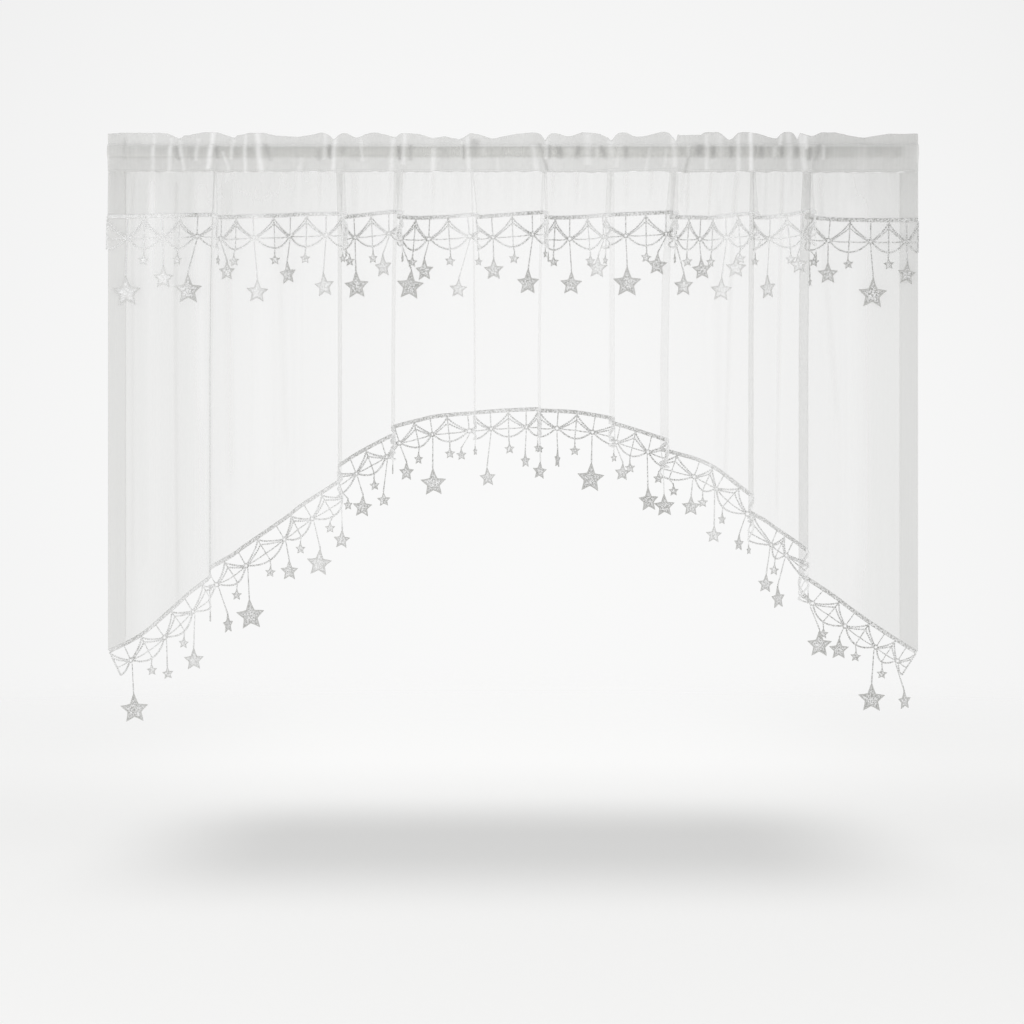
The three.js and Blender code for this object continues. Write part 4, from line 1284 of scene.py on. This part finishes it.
        ridge, trough = self.gathered(x, down, 1), -self.gathered(x, down, -1)
        # Painted shade: darker towards the sides, by the cover table's last column, and in the
        # troughs.
        grey = read(PAINTED_SIDE_SHADE, x) + read(self.cover, x, 4) + self.trough_shade * trough
        paint(mesh, "cloth_cover", self.density(x, down, ridge, trough))
        paint(mesh, "cloth_shade", np.clip(grey, 0, self.darkest))
        # Painted highlight with a faint glow on the raised ridges.
        lit = np.clip(ridge / self.ridge_full, 0, 1) ** 1.15
        paint(mesh, "cloth_lit", self.ridge_light * lit)
        return add_piece(self.name, mesh, finish, Slot.VOILE, "heading")

    def density(self, x: Array, down: Array, ridge: Array, trough: Array) -> Array:
        """Give how much one layer of the heading covers.

        Args:
            x: Places across.
            down: Heights below the rod.
            ridge: How high its ridges stand.
            trough: How deep its troughs lie.

        Returns:
            Shares from 0 to 1.
        """
        ruffle, pocket, on_rod = (read(self.cover, x, column) for column in (1, 2, 3))
        base = ruffle + (pocket - ruffle) * smooth((down - SIZES.stitch_line) / self.pocket_soft)
        base = base + on_rod * smooth((self.rod_half - np.abs(down)) / self.rod_soft)
        base = base + self.ridge_cover * ridge + self.trough_cover * trough
        base = base + ripples(x, self.cover_waves)
        side = SIZES.width / 2 - np.abs(x)
        base = base + self.hem_cover * smooth((SIZES.side_hem - side) / SIZES.hem_soft)
        return np.clip(base, *self.limits)

    def length(self) -> float:
        """Give the strip's length over the top in metres."""
        return float(strip_length(self.section())[-1]) * MM


@dataclass
class ThreadSet:
    """Threads of a piece, gathered as lines with a thickness at each point."""

    name: str
    lines: list[tuple[Array, Array, bool]] = field(default_factory=list)

    def add(self, points: Array, radius: Array, closed: bool = False) -> None:
        """Add a thread of points in metres and radii in millimetres, closed for a ring."""
        self.lines.append((points, radius, closed))

    def mesh(self, sides: int = 1) -> Mesh:
        """Turn the threads into one mesh.

        Args:
            sides: The curve's own roundness setting.

        Returns:
            The mesh.
        """
        curve = bpy.data.curves.new(self.name, "CURVE")
        curve.dimensions = "3D"
        curve.bevel_depth = MM
        curve.bevel_resolution = sides
        curve.use_fill_caps = True
        for points, radius, closed in self.lines:
            spline = curve.splines.new("POLY")
            spline.points.add(len(points) - 1)
            rows = np.concatenate([points, np.ones((len(points), 1))], axis=1)
            spline.points.foreach_set("co", rows.astype(np.float32).reshape(-1))
            spline.points.foreach_set("radius", radius.astype(np.float32))
            spline.use_cyclic_u = closed
        carrier = bpy.data.objects.new(self.name, curve)
        bpy.context.scene.collection.objects.link(carrier)
        view_layer = bpy.context.evaluated_depsgraph_get()
        made = bpy.data.meshes.new_from_object(carrier.evaluated_get(view_layer))
        bpy.data.objects.remove(carrier)
        bpy.data.curves.remove(curve)
        return made


@dataclass(frozen=True)
class StarShape:
    """A puffed five-pointed star with a corded rim and a longer top arm.

    The rows of "rings" are reach, half thickness and how dark the rim is there.
    """

    waist: float = 0.47
    top_arm: float = 1.2
    per_edge: int = 3
    tip: float = 0.12
    rings: Table = (
        (0.97, 0.062, 1.0), (0.86, 0.075, 0.9), (0.77, 0.03, 0.35), (0.5, 0.075, 0.0),
        (0.25, 0.095, 0.0),
    )

    def outline(self) -> list[tuple[float, float]]:
        """Give the rim for a star of reach 1, its top arm first.

        Returns:
            Points as x and z, turning to the right.
        """
        reaches = [self.top_arm, *(self.waist, 1.0) * 4, self.waist]
        angles = [step * math.pi / 5 for step in range(10)]
        corners = [(math.sin(a) * reach, math.cos(a) * reach) for a, reach in zip(angles, reaches)]
        shares = [(part or self.tip) / self.per_edge for part in range(self.per_edge)]
        return [
            (a[0] + (b[0] - a[0]) * share, a[1] + (b[1] - a[1]) * share)
            for a, b in zip(corners, corners[1:] + corners[:1])
            for share in shares
        ]

    def template(self) -> Mesh:
        """Make one star of reach 1, facing the room.

        Returns:
            Its mesh, with a "rim" attribute.
        """
        line = self.outline()
        star = bmesh.new()
        rim = star.verts.layers.float.new("rim")
        ring = bmesh.ops.create_circle(star, segments=len(line), radius=1)["verts"]
        for vertex, (x, z) in zip(ring, line):
            vertex.co = (x, 0, z)
            vertex[rim] = 1.0
        for side in (-1, 1):
            loop = [edge for edge in star.edges if all(v in ring for v in edge.verts)]
            for share, lift, dark in self.rings:
                grown = bmesh.ops.extrude_edge_only(star, edges=loop)["geom"]
                loop = [item for item in grown if isinstance(item, BMEdge)]
                for vertex in (item for item in grown if isinstance(item, BMVert)):
                    x, z = self._nearest(vertex.co, line)
                    vertex.co = (x * share, side * lift, z * share)
                    vertex[rim] = dark
            middle = bmesh.ops.contextual_create(star, geom=loop)["faces"]
            bmesh.ops.poke(star, faces=middle)
        bmesh.ops.recalc_face_normals(star, faces=star.faces)
        return mesh_of("lace_star", star)

    @staticmethod
    def _nearest(place: Vector, line: list[tuple[float, float]]) -> tuple[float, float]:
        """Find the rim point in the same direction as a place."""
        angle = math.atan2(place.x, place.z)
        return min(line, key=lambda rim: abs(math.remainder(math.atan2(*rim) - angle, math.tau)))


@dataclass(frozen=True)
class Seat:
    """Where a star hangs: places in metres, its reach in millimetres, its turn in radians."""

    root: Array
    centre: Array
    across: Array
    reach: float
    turn: float
    free: bool


@dataclass
class LaceTrim:
    """A trim of star lace: braid, garlands, rosettes, swags, strings and stars.

    The rows of "section" are the braid's depth, how far it stands out, and its plait.
    """

    name: str
    node: str
    edge: Edge
    out: Outward
    rosettes: tuple[Rosette, ...]
    depth: float
    level: float
    # Painted glint of the lace: across, share.
    faint: Table
    seed: int
    small_drop: float = 18
    braid: float = 5.6
    plait: float = 4.6
    ring: float = 3.1
    ring_bead: float = 1.25
    near: float = 2.8
    second_start: float = 8.5
    star_out: float = 2.5
    star_spin: float = 0.3
    star_roll: float = 0.09
    small_puff: float = 1.5
    string: tuple[float, float, float] = (0.82, 0.86, 1.25)
    thread_rim: float = 0.12
    # How much paler lace is drawn where it lies in a lapped fold.
    hidden: float = 0.72
    clear: float = 5.0
    sideways: float = 12.0
    folded_size: float = 0.8
    step: float = 1.5
    fold_levels: tuple[float, ...] = (2.0, 14.0, 26.0, 38.0, 52.0)
    section: Table = (
        (0.0, 0.0, 0), (0.5, 0.7, 1), (1.7, 0.95, 1), (2.8, 0.45, 0), (3.9, 0.95, 1),
        (5.1, 0.7, 1), (5.6, 0.0, 0), (2.8, -0.5, 0), (0.0, 0.0, 0),
    )
    garland: Cord = Cord(1.1, 0.66, 3.3)
    second: Cord = Cord(1.0, 0.66, 3.3)
    swag_cord: Cord = Cord(1.25, 0.4, 3.0)
    strand: Cord = Cord(0.95, 0.2, 2.6)
    plain: Cord = Cord(0.9)
    end_cord: Cord = Cord(1.15, 0.5, 3.3)

    def __post_init__(self) -> None:
        """Find the places of the rosettes and of the peaks between them."""
        self.places = sorted(self.edge.place_of(row.along, self.level) for row in self.rosettes)
        middles = [(a + b) / 2 for a, b in zip(self.places, self.places[1:])]
        self.peaks = [0.0, *middles, self.edge.length]

    def hang(self, place: Array, below: Array | float, lift: float = 0.0) -> Array:
        """Hang places of the trim.

        Args:
            place: Distances along the braid.
            below: Distances below its top.
            lift: Extra distance to the room side.

        Returns:
            Rows of x, y and z in metres.
        """
        along, down = self.edge.flat(np.clip(place, 0, self.edge.length), below)
        return CLOTH.points(np.clip(along, 0, CLOTH.width), down, self.out(down) + lift)

    def line(self, threads: ThreadSet, start: tuple[float, float], end: tuple[float, float],
             cord: Cord, bend: float = 1.0, lift: float = 0.0, fall: float = 0.0) -> None:
        """Add a cord between two places of the trim.

        Args:
            threads: The set it goes to.
            start: Its first place and depth.
            end: Its last place and depth.
            cord: Its thickness and beads.
            bend: Power of its way down, 1 for a straight line.
            lift: Extra distance to the room side.
            fall: How far its middle sags.
        """
        run = math.dist(start, end)
        step = cord.pitch / 3 if cord.bead else 4.0
        share = np.linspace(0, 1, max(3, math.ceil(run / step) + 1))
        place = start[0] + (end[0] - start[0]) * share
        below = start[1] + (end[1] - start[1]) * share**bend + fall * 4 * share * (1 - share)
        threads.add(self.hang(place, below, lift), cord.swell(share * run))

    def swag(self, threads: ThreadSet, start: tuple[float, float],
             low: tuple[float, float]) -> None:
        """Add half of the swag below the strand between two rosettes.

        Args:
            threads: The set it goes to.
            start: The rosette's place and depth.
            low: The swag's lowest place and depth.
        """
        run = math.dist(start, low)
        share = np.linspace(0, 1, max(5, int(run) + 1))
        place = start[0] + (low[0] - start[0]) * share
        below = start[1] + (low[1] - start[1]) * (1 - (1 - share) ** 2)
        threads.add(self.hang(place, below), self.swag_cord.swell(share * run))

    def garlands(self, threads: ThreadSet) -> None:
        """Add the beaded garlands, swags, strands and rings of every repeat.

        Args:
            threads: The set they go to.
        """
        top, level = self.braid - 1, self.level
        for index, rosette in enumerate(self.places):
            for side in Side:
                peak = self.peaks[index + (side is Side.RIGHT)]
                near = rosette + side.value * self.near
                self.line(threads, (peak, top), (near, level - 1.5), self.garland, 0.66)
                inner = (peak, self.braid + self.second_start)
                self.line(threads, inner, (near, level + 0.8), self.second, 0.82, lift=0.4)
                self.swag(threads, (near, level + 1.5), (peak, self.depth))
                self.line(threads, (near, level), (peak, level + 1.0), self.strand, fall=0.8)
            self.line(threads, (rosette, top), (rosette, level - 3), self.plain)
        for peak in self.peaks[1:-1]:
            self.line(threads, (peak, top), (peak, self.depth), self.plain)
        for end in (self.peaks[0], self.peaks[-1]):
            self.line(threads, (end, top), (end, self.depth + 1), self.end_cord)
        angle = np.linspace(0, 2 * math.pi, 24, endpoint=False)
        beads = self.ring_bead * (1 + 0.3 * np.cos(8 * angle))
        for rosette in self.places:
            place = rosette + self.ring * np.cos(angle)
            below = level + self.ring * np.sin(angle)
            threads.add(self.hang(place, below, 0.5), beads, closed=True)

    def _gap(self, along: float) -> tuple[float, bool]:
        """Give how far a flat place lies from the nearest lapped fold.

        Args:
            along: The flat place.

        Returns:
            The gap with its side, and whether the place is in the fold.
        """
        gaps = []
        for left, right in CLOTH.laps:
            if left <= along <= right:
                return 0.0, True
            gaps.append(along - left if along < left else along - right)
        return min(gaps, key=abs), False

    def seat(self, place: float, below: float, row: Rosette, small: bool) -> Seat:
        """Find where a star hangs.

        Args:
            place: Where its string begins along the braid.
            below: How far down its string begins.
            row: Its sizes.
            small: True for a star under a peak.

        Returns:
            Its seat.
        """
        root_along, root_down = (float(value) for value in self.edge.flat(place, below))
        root_along = min(max(root_along, 1.0), CLOTH.width - 1.0)
        root_gap, inside = self._gap(root_along)
        along = root_along + row.aside
        if inside:
            reach = row.reach if row.turn else row.reach * self.folded_size
        else:
            gap = self._gap(along)[0] or math.copysign(SIZES.seam_gap, root_gap)
            room = max(abs(gap) + self.sideways - self.clear, SIZES.small_star)
            reach = min(row.reach, room)
            aside = max(0.0, reach + self.clear - abs(gap))
            along += math.copysign(min(aside, self.sideways), gap)
        along = min(max(along, 0.5), CLOTH.width - 0.5)
        down = root_down + (row.string if small else row.string + reach * 1.2)
        out = self.out(np.array([down, down, down])) + (0.0 if inside else self.star_out)
        flats = np.array([along, along - 5, along + 5]).clip(0, CLOTH.width)
        spots = CLOTH.points(flats, np.full(3, down), out)
        root = CLOTH.points([root_along], [root_down], self.out(np.array([root_down])))[0]
        turn = math.radians(row.turn)
        return Seat(root, spots[0], spots[2] - spots[1], reach, turn, inside and row.turn != 0)

    def stars(self, threads: ThreadSet, template: Mesh) -> BMesh:
        """Hang every star and add its string.

        Args:
            threads: The set that strings go to.
            template: One star of reach 1.

        Returns:
            All the stars.
        """
        rng = random.Random(self.seed)
        joined = bmesh.new()
        small = Rosette(0, SIZES.small_star, self.small_drop, 0, 0)
        pairs = zip(self.places, self.rosettes)
        rows = [(place, self.level + 5, row, False) for place, row in pairs]
        rows += [(peak, self.depth, small, True) for peak in self.peaks[1:-1]]
        for place, below, row, is_small in rows:
            seat = self.seat(place, below, row, is_small)
            start = len(joined.verts)
            joined.from_mesh(template)
            joined.verts.ensure_lookup_table()
            angle = 0.0 if seat.free else math.atan2(seat.across[1], seat.across[0])
            angle += rng.uniform(-self.star_spin, self.star_spin) if is_small else seat.turn
            roll = rng.uniform(-self.star_roll, self.star_roll)
            size = seat.reach * MM
            move = (
                Matrix.Translation(Vector(seat.centre))
                @ Matrix.Rotation(angle, 4, "Z")
                @ Matrix.Rotation(roll, 4, "Y")
                @ Matrix.Diagonal((size, size * (self.small_puff if is_small else 1.0), size, 1))
            )
            bmesh.ops.transform(joined, matrix=move, verts=joined.verts[start:])
            share = np.linspace(0, 1, 6)
            string = np.linspace(seat.root, np.array(move @ Vector((0, 0, 1.14))), 6)
            threads.add(string, np.interp(share, (0, 0.7, 1), self.string))
        return joined

    def braid_mesh(self) -> Mesh:
        """Make the braid: a flat plaited tape.

        Returns:
            Its mesh.
        """
        rows = len(self.section) - 1
        tape, across, share = grid_mesh(self.name, int(self.edge.length / self.step), rows)
        below, lift, plait = np.array(self.section)[np.rint(share * rows).astype(int)].T
        place = across * self.edge.length
        turn = np.where(below < self.braid / 2, 0, math.pi)
        height = lift + plait * 0.3 * np.sin(place * 2 * math.pi / self.plait + turn)
        place_vertices(tape, self.hang(place, below, height))
        solid = bmesh.new()
        solid.from_mesh(tape)
        bmesh.ops.remove_doubles(solid, verts=solid.verts[:], dist=0.00001)
        return mesh_of(self.name + "_braid", solid)

    def folded_away(self, places: Array) -> Array:
        """Give 1 where the lace lies in a lapped fold, and so behind cloth.

        Args:
            places: Rows of x, y and z in metres.

        Returns:
            A share for each place.
        """
        run = np.arange(0, self.edge.length, self.step)
        spots = np.concatenate([self.hang(run, level) for level in self.fold_levels])
        shares = np.concatenate(
            [CLOTH.lapped(self.edge.flat(run, level)[0]) for level in self.fold_levels]
        )
        tree = KDTree(len(spots))
        for index, spot in enumerate(spots):
            tree.insert(spot, index)
        tree.balance()
        return np.array([shares[tree.find(place)[1]] for place in places])

    def build(self, finish: Material, template: Mesh) -> Object:
        """Make the whole trim as one piece.

        Args:
            finish: The lace.
            template: One star of reach 1.

        Returns:
            The trim.
        """
        threads = ThreadSet(self.name + "_threads")
        self.garlands(threads)
        joined = self.stars(threads, template)
        rim = joined.verts.layers.float["rim"]
        loose = len(joined.verts)
        for part in (threads.mesh(), self.braid_mesh()):
            joined.from_mesh(part)
        joined.verts.ensure_lookup_table()
        for vertex in joined.verts[loose:]:
            vertex[rim] = self.thread_rim
        mesh = mesh_of(self.name, joined)
        places = vertex_places(mesh)
        # Painted glint by place across; lace in a lapped fold is also drawn paler, as if behind
        # cloth.
        faint = read(self.faint, places[:, 0] / MM)
        faint[loose:] = np.maximum(faint[loose:], self.folded_away(places[loose:]) * self.hidden)
        paint(mesh, "faint", faint)
        return add_piece(self.name, mesh, finish, Slot.LACE, self.node)


@dataclass
class Stitching:
    """Rows of small raised stitches along the seams."""

    name: str = "seam_stitches"
    stitch: float = 2.4
    gap: float = 1.0
    size: float = 0.28
    tip: float = 0.16
    start: float = 0.5
    proud: float = 0.35

    def row(self, threads: ThreadSet, places: Array) -> None:
        """Lay stitches along a line.

        Args:
            threads: The set they go to.
            places: Close points of the line, in metres.
        """
        steps = np.linalg.norm(np.diff(places, axis=0), axis=1)
        run = np.concatenate([[0.0], np.cumsum(steps)]) / MM
        start = self.start
        while start + self.stitch < run[-1]:
            share = np.array([0.0, 0.5, 1.0]) * self.stitch + start
            line = np.stack([np.interp(share, run, places[:, axis]) for axis in range(3)], axis=1)
            threads.add(line, np.array([self.tip, self.size, self.tip]))
            start += self.stitch + self.gap

    def build(self, heading: Object, columns: int, finish: Material) -> Object:
        """Sew the heading's two feet and both side hems.

        Args:
            heading: The heading piece.
            columns: Squares across it.
            finish: The thread.

        Returns:
            The stitches.
        """
        threads = ThreadSet(self.name)
        grid = vertex_places(heading.data).reshape(-1, columns + 1, 3)
        for places in (grid[1], grid[-2]):
            self.row(threads, places - np.array([0, 0.25 * MM, 0]))
        inset = SIZES.side_hem - SIZES.hem_soft
        for along in (inset, CLOTH.width - inset):
            for edge, out in ((HEM_EDGE, panel_out), (OVERLAY_EDGE, overlay_out)):
                down = np.linspace(SIZES.heading_foot + 2, float(edge.down_at(along)) - 3, 260)
                places = CLOTH.points(np.full_like(down, along), down, out(down) + self.proud)
                self.row(threads, places)
        return add_piece(self.name, threads.mesh(0), finish, Slot.VOILE)


@dataclass
class Studio:
    """Pale floor, soft lights and the camera of the photograph, in metres.

    The rows of "lamps" are name, place, aim, size and watts.
    """

    floor: float = -1.03
    floor_radius: float = 4.2
    floor_colour: str = "f2f2f1"
    fade_from: float = 1.6
    # Painted shadow: a soft pool under the curtain where the floor's glow drops.
    pool_back: float = 0.03
    pool_across: tuple[float, float] = (0.67, 0.33)
    pool_deep: tuple[float, float] = (0.68, 0.08)
    floor_glow: tuple[float, float] = (0.29, 0.083)
    # Painted light: extra glow towards the back, strongest in the middle.
    far_glow_depth: tuple[float, float] = (0.2, 1.35)
    far_glow_aside: tuple[float, float] = (0.3, 1.0)
    far_glow: tuple[float, float] = (0.12, 0.06)
    camera_place: tuple[float, float, float] = (-0.0015, -3.582, -0.5333)
    backdrop: tuple[float, float] = (0.872, 0.948)
    backdrop_from: float = 0.955
    surround: float = 0.58
    lamps: tuple[tuple, ...] = (
        ("front_softbox", (0.05, -4.2, -0.1), (0.02, 0, -0.4), (2.2, 1.7), 26.0),
        ("left_softbox", (-2.2, -1.6, 0.2), (-0.5, 0, -0.3), (1.2, 1.6), 3.5),
        ("top_softbox", (0.0, -0.25, 1.5), (0, 0, -1.0), (1.8, 0.7), 2.0),
    )

    def build(self) -> None:
        """Make the studio."""
        self._world()
        self._floor()
        self._lamps()
        self._camera()
        settings = bpy.context.scene.view_settings
        settings.view_transform = "Standard"
        settings.look = "None"
        settings.exposure = 0
        settings.gamma = 1

    def _world(self) -> None:
        """Give the seen background and the light that comes from all round."""
        world = bpy.data.worlds.new("studio")
        bpy.context.scene.world = world
        world.use_nodes = True
        tree = world.node_tree
        tree.nodes.clear()
        add = partial(add_node, tree)
        path = add("LightPath")
        way = add("TexCoord").outputs["Generated"]
        ahead = add("VectorMath", {"operation": "DOT_PRODUCT", 1: (0, 1, 0)}, {0: way})
        low, high = self.backdrop
        glow = add(
            "MapRange", {"From Min": self.backdrop_from, "To Min": low, "To Max": high},
            {"Value": ahead.outputs["Value"]},
        )
        seen = add("Background", {"Color": (1, 1, 0.998, 1)}, {"Strength": glow})
        light = add("Background", {"Color": WHITE, "Strength": self.surround})
        mixed = add("MixShader", links={0: path.outputs["Is Camera Ray"], 1: light, 2: seen})
        add("OutputWorld", links={"Surface": mixed})

    def _floor(self) -> None:
        """Lay a round pale floor that fades into the background."""
        disc = bmesh.new()
        bmesh.ops.create_circle(
            disc, cap_ends=True, segments=96, radius=self.floor_radius,
            matrix=Matrix.Translation((0, 0, self.floor)),
        )
        mesh = mesh_of("studio_floor", disc)
        floor = bpy.data.objects.new("studio_floor", mesh)
        bpy.context.scene.collection.objects.link(floor)
        mesh.materials.append(self._floor_paint())

    def _floor_paint(self) -> Material:
        """Make the floor's pale paint, with the soft pool of shade under the curtain.

        Returns:
            The material.
        """
        material, add = new_material("pale_studio_floor")
        place = add("TexCoord").outputs["Object"]
        parts = add("SeparateXYZ", links={0: place})
        wide = add("Math", {"operation": "ABSOLUTE"}, {0: parts.outputs[0]})
        depth = add("Math", {"operation": "ADD", 1: -self.pool_back}, {0: parts.outputs[1]})
        deep = add("Math", {"operation": "ABSOLUTE"}, {0: depth})
        across, along, far, spread = (
            add(
                "MapRange",
                {"interpolation_type": "SMOOTHSTEP", "From Min": start, "From Max": end,
                 "To Min": low, "To Max": high},
                {"Value": source},
            )
            for source, (start, end), (low, high) in (
                (wide, self.pool_across, (0.0, 1.0)),
                (deep, self.pool_deep, (0.0, 1.0)),
                (parts.outputs[1], self.far_glow_depth, (0.0, 1.0)),
                (wide, self.far_glow_aside, self.far_glow),
            )
        )
        # Painted shadow: the glow drops in a soft pool under the curtain.
        shade = add("Math", {"operation": "MULTIPLY"}, {0: across, 1: along})
        bright, dark = self.floor_glow
        glow = add("MapRange", {"To Min": bright, "To Max": dark}, {"Value": shade})
        # Painted light: more glow towards the back, most in the middle.
        far_glow = add("Math", {"operation": "MULTIPLY"}, {0: far, 1: spread})
        total = add("Math", {"operation": "ADD"}, {0: glow, 1: far_glow})
        length = add("VectorMath", {"operation": "LENGTH"}, {0: place})
        fade = add(
            "MapRange",
            {"interpolation_type": "SMOOTHSTEP", "From Min": self.floor_radius * 0.98,
             "From Max": self.fade_from},
            {"Value": length.outputs["Value"]},
        )
        add_shader(
            add,
            {"Base Color": srgb(self.floor_colour), "Roughness": 1.0, "Specular IOR Level": 0.0,
             "Emission Color": WHITE},
            {"Emission Strength": total, "Alpha": fade},
        )
        return material

    def _lamps(self) -> None:
        """Hang the soft lamps: in front, at the left and above."""
        for name, place, aim, size, power in self.lamps:
            lamp = bpy.data.lights.new(name, "AREA")
            lamp.shape = "RECTANGLE"
            lamp.size, lamp.size_y = size
            lamp.energy = power
            holder = bpy.data.objects.new(name, lamp)
            holder.location = place
            way = Vector(aim) - Vector(place)
            holder.rotation_euler = way.to_track_quat("-Z", "Y").to_euler()
            bpy.context.scene.collection.objects.link(holder)

    def _camera(self) -> None:
        """Set the level camera straight in front."""
        lens = bpy.data.cameras.new("studio_camera")
        lens.lens = 85
        lens.sensor_width = 36
        lens.clip_end = 60
        camera = bpy.data.objects.new("studio_camera", lens)
        camera.location = self.camera_place
        camera.rotation_euler = (math.pi / 2, 0, 0)
        bpy.context.scene.collection.objects.link(camera)
        bpy.context.scene.camera = camera


def dress() -> None:
    """Build every piece in order and report it."""
    voile, lace, thread = WovenVoile().build(), ChemicalLace().build(), SEWING_THREAD.build()
    rod = RodPiece().build(PAINTED_STEEL.build())
    LOG.info("rod: %s", rod.name)
    template = StarShape().template()
    upper = LaceTrim(
        "upper_star_lace", "upper_lace", OVERLAY_EDGE, overlay_out, UPPER_ROSETTES,
        depth=51, level=34.7, faint=UPPER_PAINTED_GLINT, seed=3,
    ).build(lace, template)
    lower = LaceTrim(
        "lower_star_lace", "lower_lace", HEM_EDGE, panel_out, LOWER_ROSETTES,
        depth=42, level=28.6, faint=LOWER_PAINTED_GLINT, seed=4,
    ).build(lace, template)
    bpy.data.meshes.remove(template)
    pocket = HeadingPiece()
    heading = pocket.build(voile)
    stitches = Stitching().build(heading, pocket.columns, thread)
    panel = ClothPiece(
        "voile_panel", "panel", HEM_EDGE, panel_out, PANEL_COVER, rows=84, lap_share=1.15
    )
    overlay = ClothPiece(
        "voile_overlay", "overlay", OVERLAY_EDGE, overlay_out, OVERLAY_COVER, rows=20,
        lap_share=0.55, hem_share=0.25,
    )
    for cloth, trim in ((panel, lower), (overlay, upper)):
        piece = cloth.build(voile)
        flat = (CLOTH.width * MM, cloth.flat_length())
        cloth.flat_area()
        LOG.info("sheet: %s, %.3f by %.3f m", piece.name, *flat)
    pocket.length()
    for piece in (upper, lower, heading, stitches):
        LOG.info("piece: %s, %d faces", piece.name, len(piece.data.polygons))


def main() -> None:
    """Dress the curtain in its studio."""
    logging.basicConfig(level=logging.INFO)
    Studio().build()
    dress()


if __name__ == "__main__":
    main()
